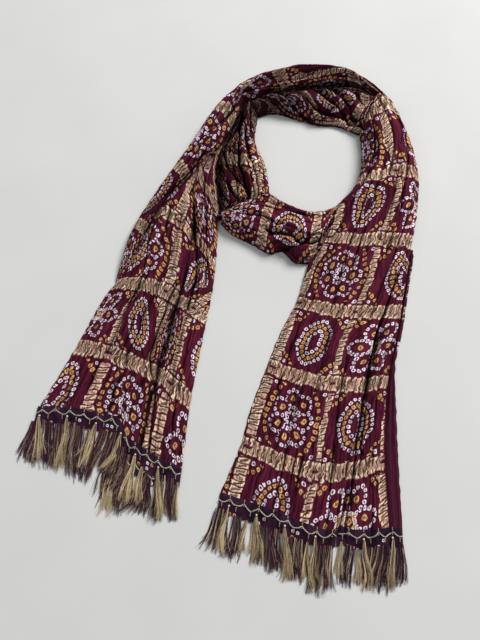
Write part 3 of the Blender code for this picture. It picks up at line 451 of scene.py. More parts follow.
# Beads in line with each peak or valley of the wave: whether at a peak, mm from the wave, and how light.
Bead = namedtuple("Bead", "at_peak off light")
BEADS = table(Bead, (True, -1.9, 0.55), (True, -3.6, 0.35), (False, 1.8, 0.5), (False, 3.5, 0.35),
              (False, 5.2, 0.25), (True, 2.6, 0.45))
KNOT_RADIUS = 1.25
KNOT_DROP = 12.0           # gold tassels that start nearer to the hem have a knot
KNOT_LIFT = 1.6            # mm from the root back to its knot
THREADS = 190              # in a tassel
LOCKS = 16                 # groups of threads that lie together
THREAD_POINTS = 8
THREAD_RADIUS = 0.17
THREAD_SIDES = 3
LEAST_THREAD_HEIGHT = 0.35
GOLD_FAN = 0.85            # share of a tassel's spread that its threads' headings take up
PLUM_FAN = 0.95
GOLD_ROOT = 1.1            # half the root's width, in mm
PLUM_ROOT = 0.44           # and as a share of the spread
STRAY_SHARE = 0.06         # of the threads curl far more than the rest
OTHER_LOCKS = 0.10         # shares of the locks and of the threads that have the other kind's colour
OTHER_THREADS = 0.08


# ==== curves and small functions ====
def run_along(points):
    """Distance of each point of a line from its first point, along the line."""
    return np.concatenate([[0.0], np.cumsum(np.linalg.norm(np.diff(points, axis=0), axis=1))])


def smooth_line(points, count):
    """Centripetal Catmull-Rom curve through the points, evenly spaced along its length."""
    pts = np.asarray(points, float)
    if len(pts) == 2:
        share = np.linspace(0.0, 1.0, count)[:, None]
        return pts[0] * (1 - share) + pts[1] * share
    ends = np.vstack([2 * pts[0] - pts[1], pts, 2 * pts[-1] - pts[-2]])
    step = np.maximum(np.linalg.norm(np.diff(ends, axis=0), axis=1), TINY) ** 0.5
    knots = np.concatenate([[0.0], np.cumsum(step)])
    fine = np.linspace(knots[1], knots[-2], FINE_POINTS * len(pts))
    seg = np.clip(np.searchsorted(knots, fine, side="right") - 1, 1, len(pts) - 1)
    t0, t1, t2, t3 = (knots[seg + k] for k in (-1, 0, 1, 2))
    p0, p1, p2, p3 = (ends[seg + k] for k in (-1, 0, 1, 2))

    def blend(a, b, ta, tb):
        return ((tb - fine) / (tb - ta))[:, None] * a + ((fine - ta) / (tb - ta))[:, None] * b

    a1, a2, a3 = blend(p0, p1, t0, t1), blend(p1, p2, t1, t2), blend(p2, p3, t2, t3)
    curve = blend(blend(a1, a2, t0, t2), blend(a2, a3, t1, t3), t1, t2)
    run = run_along(curve)
    even = np.linspace(0.0, run[-1], count)
    return np.column_stack([np.interp(even, run, curve[:, k]) for k in range(2)])


def smooth_step(x):
    """0 below 0, 1 above 1 and an S between them."""
    x = np.clip(x, 0.0, 1.0)
    return x * x * (3 - 2 * x)


def window(along, start, end, fade):
    """1 from start to end, eased to 0 over the fade inside them, but not at the ends of the stretch."""
    return (smooth_step((along - start) / fade + (start <= 0.0))
            * smooth_step((end - along) / fade + (end >= 1.0)))


def beside(off, left_width, right_width):
    """Distance off a line as a share of the width on that side, from 0 to 1."""
    return np.clip(np.where(off < 0, -off / left_width, off / right_width), 0.0, 1.0)


def columns_at(along, rows):
    """Columns of a table after its first, at each place along."""
    places, *columns = np.array(rows, float).T
    return [np.interp(along, places, column)[:, None] for column in columns]


def sway(x, seed, waves=4):
    """Smooth unevenness between about -1 and 1: a sum of sines of unlike lengths near 1, seeded phases."""
    draw = np.random.default_rng(seed)
    rates = tau * draw.uniform(0.45, 1.9, waves)
    phases = draw.uniform(0.0, tau, waves)
    return sum(np.sin(rate * x + phase) for rate, phase in zip(rates, phases)) / waves ** 0.5


def to_metres(points):
    """Millimetres on the laid stole to metres in the frame."""
    return (np.asarray(points, float) - np.array([*LAY_CENTRE, 0.0])) * MM


def unit(direction):
    """The direction as a vector of length 1."""
    vector = np.array(direction, float)
    return vector / np.linalg.norm(vector)


# ==== one stretch of cloth ====
def plan_of(stretch, along, across):
    """Plan of the patch: side lines joined straight, bent near the ends to the end lines."""
    left = smooth_line(stretch.left, len(along))[:, None, :]
    right = smooth_line(stretch.right, len(along))[:, None, :]
    w = across[None, :, None]
    t = along[:, None, None]
    plan = left * (1 - w) + right * w
    share = np.linspace(0.0, 1.0, LINE_POINTS)
    for line, corner, weight in ((stretch.start, 0, (1 - t) ** START_BEND), (stretch.end, -1, t ** END_BEND)):
        end = smooth_line(line, LINE_POINTS)
        bent = np.column_stack([np.interp(across, share, end[:, k]) for k in range(2)])
        plan = plan + weight * (bent - plan[corner])[None, :, :]
    return plan


def height_of(stretch, along, across, width):
    """Rounded layers at both sides, a crown between them, then each fold and crease along its own line:
    folds are rounded, creases come to a point."""
    crest, left_lip, right_lip = columns_at(along, stretch.sections)
    w = across[None, :]
    lip = left_lip + (right_lip - left_lip) * smooth_step(w)
    roll = np.minimum(w, 1 - w) * width / lip
    edge = LOWEST_LAYER + sum(layer.rise * smooth_step((roll - layer.start) / layer.length)
                              for layer in EDGE_LAYERS)
    height = lip * edge + (crest - lip) * np.sin(pi * w) ** CROWN_POWER
    for number, fold in enumerate(stretch.folds):
        line = np.interp(along, (fold.start, fold.end), (fold.across_start, fold.across_end))
        line = line + FOLD_WANDER * sway(FOLD_WANDER_RATE * along, 50 + number)
        off = beside((w - line[:, None]) * width, fold.left_width, fold.right_width)
        fade = window(along, fold.start, fold.end, FOLD_FADE)[:, None]
        height = height + fold.rise * np.cos(0.5 * pi * off) ** 2 * fade
    for number, crease in enumerate(stretch.creases):
        line = np.interp(along, *crease.line.T)
        line = line + CREASE_WANDER * sway(CREASE_WANDER_RATE * along, 80 + number)
        off = beside((w - line[:, None]) * width, crease.left_width, crease.right_width)
        fade = window(along, crease.line[0, 0], crease.line[-1, 0], CREASE_FADE)[:, None]
        height = height + crease.rise * (1.0 - off) ** CREASE_POWER * fade
    return np.maximum(height, LEAST_HEIGHT)


def crease_of(stretch, along, across, width):
    """Small uneven lengthwise creases: sharp-crested waves across the cloth whose place and strength sway
    along it, and single creases of seeded place, length, depth and width."""
    draw = np.random.default_rng(len(stretch.name) * 11)
    t = along[:, None]
    across_mm = (across[None, :] - 0.5) * width
    long_mm = np.linalg.norm(np.subtract(stretch.left[0], stretch.left[-1])) * t
    height = np.zeros((len(along), len(across)))
    for number, ripple in enumerate(RIPPLES):
        waves = long_mm / ripple.pitch
        bend = 1.6 * sway(waves / 14, number) + 0.8 * sway(waves / 5, 9 + number)
        strength = 0.65 + 0.35 * sway(long_mm / 60 + across_mm / 34, 20 + number)
        height += ripple.depth * strength * (0.6 - np.abs(np.sin(pi * across_mm / ripple.pitch + bend)))
    for _ in range(stretch.wrinkles):
        start = draw.uniform(-0.1, 0.9)
        end = start + draw.uniform(0.12, 0.45)
        place = draw.uniform(0.04, 0.96)
        drift = draw.uniform(-0.05, 0.05)
        depth = draw.uniform(-2.3, 1.1)
        thin = draw.uniform(1.0, 2.0)
        thick = draw.uniform(2.4, 5.5)
        off = beside((across - place - drift * (t - start) / (end - start)) * width, thick, thin)
        fade = smooth_step((t - start) / WRINKLE_FADE) * smooth_step((end - t) / WRINKLE_FADE)
        height += depth * fade * np.cos(0.5 * pi * off) ** 2
    return height * smooth_step(np.minimum(across, 1 - across) * width / SMOOTH_SIDE)


def inward(line, towards):
    """Unit normals of a line of points, on the side where the point towards lies."""
    run = np.gradient(line, axis=0)
    normal = np.column_stack([-run[:, 1], run[:, 0]])
    normal /= np.linalg.norm(normal, axis=1)[:, None]
    return normal * np.sign(np.sum(normal * (towards - line)))


def top_grid(stretch, creased=True):
    """Grid of points (mm) over the top of a stretch, kept clear of its neighbours, and its places."""
    along = np.linspace(0.0, 1.0, stretch.rows)
    even = np.linspace(0.0, 1.0, stretch.columns)
    across = SIDE_CROWDING * (0.5 - 0.5 * np.cos(pi * even)) + (1 - SIDE_CROWDING) * even
    plan = plan_of(stretch, along, across)
    width = np.linalg.norm(plan[:, -1] - plan[:, 0], axis=1)[:, None]
    height = height_of(stretch, along, across, width)
    gap = CLOTH_GAP
    if creased:
        height = np.maximum(height + crease_of(stretch, along, across, width), LEAST_HEIGHT)
        gap = gap + SIDE_WANDER * (1 + sway(along * stretch.rows / 9, 5)[:, None, None])
    middle = 0.5 * (plan[:, 0] + plan[:, -1])
    from_left = inward(plan[:, 0], middle)[:, None, :] * (1 - across)[None, :, None]
    from_right = inward(plan[:, -1], middle)[:, None, :] * across[None, :, None]
    moved = plan + gap * (from_left + from_right)
    moved[0] += END_GAP * inward(plan[0], plan[1])
    moved[-1] += END_GAP * inward(plan[-1], plan[-2])
    return np.dstack([moved, height]), along, across


def pattern_places(stretch, points, along, across):
    """Place of each point on the patterned cloth, in mm: across from a ladder of its part by the length over
    the folds, along from band to band."""
    run = np.array([run_along(row) for row in points])
    run /= run[:, -1:]
    column = np.zeros(run.shape)
    for part in stretch.parts:
        edge, place, pitch = columns_at(along, part.rows)
        inside = np.array([np.interp(p, across, line) for p, line in zip(place[:, 0], run)])[:, None]
        place = np.where((place > 0) & (place < 1), inside, place)
        column = np.where(across >= edge, part.number + (run - place) / pitch, column)
    bands = np.array(stretch.bands)
    lines = np.array([np.interp(across, BAND_PLACES, band[1:]) for band in bands])
    row = np.column_stack([np.interp(along, line, bands[:, 0]) for line in lines.T])
    return np.dstack([column * CELL_WIDTH, row * CELL_LENGTH])


def with_sides(stretch, points, places, along):
    """Adds the sides to a grid: columns outside it that go down and turn in, or where a neighbour adjoins,
    spread out below it."""
    middle = points[:, points.shape[1] // 2, :2]

    def side(column, joined):
        edge, edge_place = points[:, column], places[:, column]
        normal = inward(edge[:, :2], middle)
        away = edge_place - places[:, NEXT_IN[column]]
        away = away / np.maximum(np.linalg.norm(away, axis=1), TINY)[:, None]
        share = window(along, *joined, JOIN_FADE)
        columns, cloth = [], []
        for number, roll in enumerate(SIDE_ROLL[::-1]):
            inset = roll.inset - (roll.inset + roll.spread) * share
            columns.append(np.column_stack([edge[:, :2] + normal * inset[:, None],
                                            np.maximum(edge[:, 2] * roll.height, LEAST_SIDE_HEIGHT)]))
            cloth.append(edge_place + away * (edge[:, 2] * SIDE_CLOTH * (number + 1))[:, None])
        return columns, cloth

    left, left_cloth = side(0, stretch.joined_left)
    right, right_cloth = side(-1, stretch.joined_right)
    return (np.stack([*left[::-1], *np.moveaxis(points, 1, 0), *right], axis=1),
            np.stack([*left_cloth[::-1], *np.moveaxis(places, 1, 0), *right_cloth], axis=1))


def with_ends(points, places, lengths):
    """Adds rows beyond the start and end of a grid, which slip down under what lies on them."""
    def rows_beyond(row, length):
        edge, edge_place = points[row], places[row]
        step = edge - points[NEXT_IN[row]]
        gap = np.maximum(np.linalg.norm(step[:, :2], axis=1), TINY)[:, None]
        way = step[:, :2] / gap * length
        cloth_way = (edge_place - places[NEXT_IN[row]]) / gap * length
        beyond = [np.column_stack([edge[:, :2] + way * tuck.reach,
                                   np.maximum(edge[:, 2] * tuck.height, LEAST_SIDE_HEIGHT)])
                  for tuck in TUCK_ROWS]
        return beyond, [edge_place + cloth_way * tuck.reach for tuck in TUCK_ROWS]

    first, first_cloth = rows_beyond(0, lengths[0])
    last, last_cloth = rows_beyond(-1, lengths[1])
    return (np.stack([*first[::-1], *points, *last]),
            np.stack([*first_cloth[::-1], *places, *last_cloth]))


def hollows(height, gain):
    """How deep each point of a grid lies in a fold, from 0 to 1: how far below the mean of its row's points
    near it, and of those farther off, times the gain."""
    total = np.cumsum(np.pad(height, ((0, 0), (1, 0))), axis=1)
    columns = np.arange(height.shape[1])
    depth = np.zeros(height.shape)
    for hollow in HOLLOWS:
        first = np.maximum(columns - hollow.columns, 0)
        last = np.minimum(columns + hollow.columns + 1, len(columns))
        mean = (total[:, last] - total[:, first]) / (last - first)
        share = gain * (mean - height - hollow.least) / (hollow.most - hollow.least)
        depth = np.maximum(depth, smooth_step(share))
    return depth


def shaded(stretch, points):
    """How much of its light each point of a grid loses to higher neighbours, from 0 to 1: most close to the
    left side, less and less over the reach from it; along the far half of the right side; and at the start,
    less and less over a share of the length.  The tables name the stretches that have such a neighbour."""
    rows = len(points)
    along = np.interp(np.arange(rows), [len(TUCK_ROWS), rows - len(TUCK_ROWS) - 1], [0.0, 1.0])[:, None]
    shade = np.zeros(points.shape[:2])

    def off_column(column):
        return np.linalg.norm(points[:, :, :2] - points[:, column][:, None, :2], axis=2)

    if stretch.name in SHADED_SIDES:
        off = off_column(len(SIDE_ROLL)) / SHADED_SIDES[stretch.name]
        near = 1.0 - smooth_step((off - NEAR_FULL) / NEAR_FADE)
        shade = np.maximum(NEAR_SHADE * near, REACH_SHADE * np.clip(1.0 - off, 0.0, 1.0))
        shade = shade * window(along, 0.0, stretch.joined_left[1], 0.2)
    if stretch.name in SHADED_FAR_SIDES:
        off = off_column(-1 - len(SIDE_ROLL))
        near = 1.0 - smooth_step((off - 1.5) / SHADED_FAR_SIDES[stretch.name])
        shade = np.maximum(shade, FAR_SHADE * near * smooth_step((along - FAR_SIDE_START) / 0.10))
    if stretch.name in SHADED_STARTS:
        start = np.clip(1.0 - along / SHADED_STARTS[stretch.name], 0.0, 1.0)
        shade = np.maximum(shade, START_SHADE * start ** 0.8)
    return shade


# ==== meshes ====
def grid_faces(points):
    """Quads of a grid of points, facing up."""
    rows, columns = points.shape[:2]
    corner = (np.arange(rows - 1)[:, None] * columns + np.arange(columns - 1)[None, :]).ravel()
    faces = np.column_stack([corner, corner + 1, corner + columns + 1, corner + columns])
    a, b, c = (points.reshape(-1, 3)[faces[:, k]] for k in range(3))
    return faces if np.sum(np.cross(b - a, c - a)[:, 2]) > 0 else faces[:, ::-1]


def add_object(name, data):
    """An object of the scene that shows the data."""
    thing = bpy.data.objects.new(name, data)
    bpy.context.scene.collection.objects.link(thing)
    return thing


def new_piece(name, vertices, faces, material, cloth_places=None, smooth=True, hollow=None):
    """A mesh object from arrays, with the place on the cloth (metres) as its UV map."""
    mesh = bpy.data.meshes.new(name)
    faces = np.asarray(faces)
    mesh.vertices.add(len(vertices))
    mesh.vertices.foreach_set("co", np.asarray(vertices, np.float32).ravel())
    mesh.loops.add(faces.size)
    mesh.loops.foreach_set("vertex_index", faces.ravel().astype(np.int32))
    mesh.polygons.add(len(faces))
    mesh.polygons.foreach_set("loop_start", np.arange(0, faces.size, faces.shape[1], dtype=np.int32))
    mesh.update(calc_edges=True)
    if cloth_places is not None:
        layer = mesh.uv_layers.new(name="cloth")
        layer.data.foreach_set("uv", np.asarray(cloth_places, np.float32)[faces.ravel()].ravel())
    # The painted shade of each point, from 0 to 1, which the material darkens the colour by.
    if hollow is not None:
        depth = mesh.attributes.new("hollow", "FLOAT", "POINT")
        depth.data.foreach_set("value", np.asarray(hollow, np.float32).ravel())
    mesh.polygons.foreach_set("use_smooth", np.full(len(faces), smooth))
    mesh.materials.append(material)
    mesh.validate()
    return add_object(name, mesh)


def new_sheet(name, points, places, thickness, material, hollow=None):
    """A sheet from a grid of points and of places on the cloth, both in mm; its thickness lies under them."""
    piece = new_piece(name, to_metres(points.reshape(-1, 3)), grid_faces(points), material,
                      places.reshape(-1, 2) * MM, hollow=hollow)
    wall = piece.modifiers.new("thickness", "SOLIDIFY")
    wall.thickness = thickness * MM
    wall.offset = -1.0
    return piece


def add_sheet(stretch, material):
    """The cloth of one stretch, its creased top, rolled sides and tucked ends, and the row of its hem."""
    points, along, across = top_grid(stretch)
    hem_row = points[-1]
    places = pattern_places(stretch, top_grid(stretch, creased=False)[0], along, across)
    points, places = with_sides(stretch, points, places, along)
    points, places = with_ends(points, places, stretch.tucks)
    # Painted shade: how deep each point lies in a fold, and how much light higher neighbours take from it.
    painted_fold_shade = hollows(points[:, :, 2], HOLLOW_GAINS.get(stretch.name, 1.0))
    piece = new_sheet(stretch.name + "_cloth", points, places, SHEET_THICKNESS, material,
                      hollow=np.maximum(painted_fold_shade, shaded(stretch, points)))
    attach(piece, "root")
    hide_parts(stretch.name)
    return piece, hem_row


# ==== materials: numbers that vary over a surface ====
MIX_FIRST, MIX_SECOND, MIX_RESULT = 6, 7, 2      # a Mix node's sockets for colours


def put(socket, value):
    """Gives a shader input its value: a number, a colour, or what another node puts out."""
    if isinstance(value, Field):
        value = value.socket
    if isinstance(value, bpy.types.NodeSocket):
        socket.id_data.links.new(value, socket)
    elif isinstance(value, tuple):
        socket.default_value = (*value, 1.0)
    else:
        socket.default_value = value


def add_node(tree, kind, inputs, **settings):
    """A shader node with its settings and the inputs that are given by name or number."""
    node = tree.nodes.new("ShaderNode" + kind)
    for name, value in settings.items():
        setattr(node, name, value)
    for name, value in inputs.items():
        put(node.inputs[name], value)
    return node


class Field:
    """A number that varies over a surface, held as a shader socket; arithmetic on it adds Math nodes."""

    def __init__(self, socket):
        self.socket = socket

    def math(self, operation, *others):
        """This number and the others, combined by one Math node."""
        numbers = dict(enumerate((self, *others)))
        return Field(add_node(self.socket.id_data, "Math", numbers, operation=operation).outputs[0])

    __add__ = __radd__ = partialmethod(math, "ADD")
    __sub__ = partialmethod(math, "SUBTRACT")
    __mul__ = __rmul__ = partialmethod(math, "MULTIPLY")
    __truediv__ = partialmethod(math, "DIVIDE")
    __pow__ = partialmethod(math, "POWER")
    __abs__ = partialmethod(math, "ABSOLUTE")
    least = partialmethod(math, "MINIMUM")
    most = partialmethod(math, "MAXIMUM")
    floor = partialmethod(math, "FLOOR")
    remainder = partialmethod(math, "FLOORED_MODULO")

    def __rsub__(self, other):
        return (self * -1.0) + other

    def rise(self, low, high):
        """0 where this is low, 1 where it is high, and a soft step between (low may be the larger)."""
        inputs = {"Value": self, "From Min": min(low, high), "From Max": max(low, high),
                  "To Min": float(low > high), "To Max": float(low < high)}
        node = add_node(self.socket.id_data, "MapRange", inputs, interpolation_type="SMOOTHSTEP")
        return Field(node.outputs["Result"])

    def choose(self, where_none, where_full):
        """The first number where this is 0, the second where it is 1."""
        return where_none + (where_full - where_none) * self


class Finish:
    """A material that is being built: its tree, its Principled shader and what its pattern reads."""

    def __init__(self, name, roughness, specular, sheen=0.0):
        self.material = bpy.data.materials.new(name)
        self.material.use_nodes = True
        self.tree = self.material.node_tree
        self.shader = self.tree.nodes["Principled BSDF"]
        self.give({"Roughness": roughness, "Specular IOR Level": specular, "Sheen Weight": sheen,
                  "Sheen Roughness": 0.35})

    def give(self, inputs):
        """Gives the shader the inputs that are there."""
        for name, value in inputs.items():
            if value is not None:
                put(self.shader.inputs[name], value)

    def cloth_place(self):
        """Across and along the cloth, in mm, from the piece's own UV map."""
        place = add_node(self.tree, "UVMap", {}, uv_map="cloth").outputs["UV"]
        split = add_node(self.tree, "SeparateXYZ", {0: place})
        return tuple(Field(split.outputs[k]) * 1000.0 for k in range(2))

    def object_place(self):
        """The Object coordinate of the piece, a vector socket."""
        return add_node(self.tree, "TexCoord", {}).outputs["Object"]

    def attribute(self, name):
        """A number given at each point of the piece."""
        return Field(add_node(self.tree, "Attribute", {}, attribute_name=name).outputs["Fac"])

    def vector(self, *numbers):
        """A vector socket from two or three numbers."""
        return add_node(self.tree, "CombineXYZ", dict(enumerate(numbers))).outputs[0]

    def noise(self, place, size=1.0, detail=2.0):
        """Soft noise from 0 to 1 whose lumps are about size long in the units of the place.  The place is a
        vector socket, or two numbers and a third that picks one noise of many."""
        vector = self.vector(*place) if isinstance(place, tuple) else place
        inputs = {"Vector": vector, "Scale": 1.0 / size, "Detail": detail}
        return Field(add_node(self.tree, "TexNoise", inputs).outputs["Fac"])

    def chance(self, x, y):
        """A number from 0 to 1 that is the same for the same two numbers."""
        inputs = {"Vector": self.vector(x, y)}
        return Field(add_node(self.tree, "TexWhiteNoise", inputs, noise_dimensions="2D").outputs["Value"])

    def colour(self, share, first, second):
        """A colour from the first, where share is 0, to the second, where it is 1; either may be a socket."""
        inputs = {"Factor": share, MIX_FIRST: first, MIX_SECOND: second}
        return add_node(self.tree, "Mix", inputs, data_type="RGBA").outputs[MIX_RESULT]

    def bump(self, height, distance, strength, under=None):
        """A bump of the given height field (0 to 1 over the distance in metres), on top of another."""
        inputs = {"Height": height, "Distance": distance, "Strength": strength}
        if under is not None:
            inputs["Normal"] = under
        return add_node(self.tree, "Bump", inputs).outputs["Normal"]

    def done(self, base, normal=None, roughness=None):
        """Joins colour, bump and roughness to the shader and gives the material."""
        self.give({"Base Color": base, "Normal": normal, "Roughness": roughness})
        return self.material


# ==== the pattern of the cloth ====
# Plum ground from its deep to its lit tone; the mix between them is partly painted shade in the crinkles and
# partly random wear.
PLUM_LIT = (0.132, 0.015, 0.042)
PLUM_DEEP = (0.048, 0.004, 0.012)
PLUM_BACK = (0.085, 0.016, 0.042)
# Near-black of the painted shade in folds, along crease lines and under neighbours.
PAINTED_SHADE_COLOUR = (0.006, 0.001, 0.002)
LILAC_WHITE = (1.00, 0.88, 1.00)
MUSTARD = (0.62, 0.31, 0.08)
YELLOW_PALE = (0.98, 0.72, 0.36)
OLIVE_EYE = (0.13, 0.055, 0.012)
GOLD_PALE = (1.00, 0.79, 0.56)
GOLD_PINK = (0.88, 0.55, 0.40)
GOLD_BROWN = (0.110, 0.038, 0.026)
DOT_SQUARENESS = 3.0
LONE = 99.0                # pitch of a row that has one dot only
ALMOND_SLANT = radians(9.0)
# Edges of the dots, in mm from the middle of each: where they have faded out, and where they are full.
WHITE_EDGE = (2.05, 1.65)
WHITE_HOLE = (0.55, 0.95)
WHITE_RAISED = (3.0, 1.6)
YELLOW_EDGE = (2.35, 1.9)
EYE_EDGE = (1.15, 0.55)
# There are no dots nearer than this to the middle of a ladder, or of a band.
LADDER_CLEAR = (6.8, 7.6)
BAND_CLEAR = (10.0, 11.0)
IN_BAND = (11.5, 10.0)
# The lace strip's net, and its printed spots along and across it.
NET_PITCH = 1.5
SPOT_PITCH = 5.6
SPOT_ROWS = 6.0


def polar(x, y):
    """Distance from the middle, and angle."""
    return (x * x + y * y) ** 0.5, y.math("ARCTAN2", x)


def nearest(value, pitch):
    """Signed distance from the nearest whole multiple of the pitch."""
    return ((value / pitch + 0.5).math("FRACT") - 0.5) * pitch


def dots(along, off, pitch):
    """Distance from the nearest dot of a row: place along the row, distance off it; squarish contours."""
    near = abs(nearest(along, pitch)) ** DOT_SQUARENESS
    return (near + abs(off) ** DOT_SQUARENESS) ** (1.0 / DOT_SQUARENESS)


def ring_dots(away, turn, radius, count):
    """Distance from the nearest of the dots round a ring."""
    return dots(turn * radius, away - radius, tau * radius / count)


def heart(x, y):
    """Distance from the middle of a large dot, a little longer than wide."""
    return polar(x, y * 0.85)[0] * 0.78


def corner_dots(x, y):
    """Distance from the single white dot in each corner of a cell."""
    return dots(abs(x) - 29.5, abs(y) - 31.5, LONE)


def leaf(x, y, half_width, half_length):
    """Distance off the outline of a leaf of two arcs, the angle along it and its radius."""
    radius = (half_length ** 2 + half_width ** 2) / (2.0 * half_width)
    away, turn = polar(abs(x) + (radius - half_width), y)
    return away - radius, turn, radius


def in_lobes(x, y, half_width, half_length, lobes):
    """Place from the middle of the nearest of the lobes round an ellipse, and that lobe's direction."""
    turn = (y / half_length).math("ARCTAN2", x / half_width)
    heading = turn - nearest(turn, tau / lobes)
    across, along = heading.math("COSINE"), heading.math("SINE")
    return x - across * half_width, y - along * half_length, across, along


def rosette(x, y):
    """Seven lobes of white dots with a yellow dot in each, round a ring of white, between two yellow arcs."""
    lobe_x, lobe_y, _, _ = in_lobes(x, y, 15.0, 20.0, 7)
    white = ring_dots(*polar(lobe_x, lobe_y), 9.0, 10)
    white = white.least(ring_dots(*polar(x, y), 5.6, 6)).least(corner_dots(x, y))
    off, turn, radius = leaf(x, y, 30.0, 46.0)
    beyond = (abs(y) - 32.0).most(0.0) * 4.0
    return white, (dots(turn * radius, off, 7.0) + beyond).least(heart(lobe_x, lobe_y))


def almond(x, y):
    """Three leaves of dots inside each other, slanted, with an arc of yellow dots across each corner."""
    cosine, sine = cos(ALMOND_SLANT), sin(ALMOND_SLANT)
    off, turn, radius = leaf(x * cosine - y * sine, x * sine + y * cosine, 18.5, 29.0)
    white = dots(turn * radius, off, 5.6).least(dots(turn * (radius - 11.6), off + 11.6, 5.4))
    corner_away, corner_turn = polar(abs(x) - 39.0, abs(y) - 42.0)
    yellow = dots(turn * (radius - 5.8), off + 5.8, 5.6)
    yellow = yellow.least(dots(corner_turn * 21.0, corner_away - 21.0, 6.4))
    return white.least(corner_dots(x, y)), yellow


def petals(x, y):
    """Six pointed petals of white dots with yellow hearts, round a yellow cluster, and yellow diamonds."""
    petal_x, petal_y, across, along = in_lobes(x, y, 17.0, 20.0, 6)
    u = petal_y * across - petal_x * along
    v = petal_x * across + petal_y * along
    off, turn, radius = leaf(u, v, 8.6, 12.5)
    away, angle = polar(x, y * 0.86)
    yellow = ring_dots(away, angle, 5.6, 7).least(away).least(heart(petal_x, petal_y))
    p, q = (abs(x) - 29.0) * 0.7071, (abs(y) - 31.0) * 0.7071
    return dots(turn * radius, off, 5.3), yellow.least(dots(abs(p + q) - 3.0, abs(p - q) - 3.0, LONE))


def dot_pattern(u, v):
    """Distances from the nearest white and yellow dots.  Slanting leaves fill every other cell of the check;
    rosettes, and petals in the outer columns, fill the cells between."""
    column = (u / CELL_WIDTH).floor()
    row = (v / CELL_LENGTH).floor()
    x = u - (column + 0.5) * CELL_WIDTH
    y = v - (row + 0.5) * CELL_LENGTH
    odd_cell = (column + row).remainder(2.0)
    outer_column = column.remainder(4.0).math("GREATER_THAN", 1.5)
    mirror = column.remainder(2.0) * -2.0 + 1.0
    motifs = zip(almond(x * mirror, y), rosette(x, y), petals(x, y))
    return [odd_cell.choose(slanted, outer_column.choose(rounded, pointed))
            for slanted, rounded, pointed in motifs]


def gold_work(finish, u, v, half_width, pitch, opening, seed):
    """Woven-gold bars in a row: place along the row and across it, and how wide the openings in and between
    the bars are.  Gives how far a point is within a bar's ends and between its sides, how light it is (a
    light rim round a brown, slanting middle), and the bar's own number from 0 to 1."""
    place = u / pitch
    p = (place.math("FRACT") - 0.5) * 2.0
    luck = finish.chance(place.floor(), v.math("SIGN") * seed + seed)
    q = v / ((luck * 0.30 + 0.85) * half_width)
    within = abs(q).rise(1.06, 0.90)
    between = abs(p).rise(0.94, 1.0 - opening)
    middle = abs(p + q * (luck * 1.6 - 0.8)).rise(0.22 + opening * 0.7, 0.1 + opening * 0.3)
    middle = middle * abs(q).rise(0.88, 0.55) * (luck * 0.5 + 0.5)
    return within, between, 1.0 - middle, luck


def gold_check(finish, u, v, ladder_off, band_off):
    rough = finish.noise((u, v, 3.0), 3.4, detail=1.5) - 0.5
    bend = finish.noise((u, v, 6.0), 5.5, detail=1.0) - 0.5
    rung, rung_between, rung_light, rung_luck = gold_work(
        finish, v + bend * 3.0 + ladder_off * 0.22, ladder_off + rough * 1.6,
        half_width=6.0, pitch=5.7, opening=0.48, seed=0.0)
    bar, bar_between, bar_light, bar_luck = gold_work(
        finish, u + bend * 7.0, band_off + rough * 3.0, half_width=8.2, pitch=5.4, opening=0.56, seed=3.0)
    in_band = abs(band_off).rise(*IN_BAND)
    gold = in_band.choose(rung * rung_between, bar * (bar_between * 0.45 + 0.55))
    eye = ((ladder_off / 5.2) ** 2.0 + (band_off / 1.7) ** 2.0).rise(1.3, 0.7)
    light = in_band.choose(rung_light, bar_light * bar_between)
    return gold * (1.0 - eye), light, (rung_luck + bar_luck) * 0.25


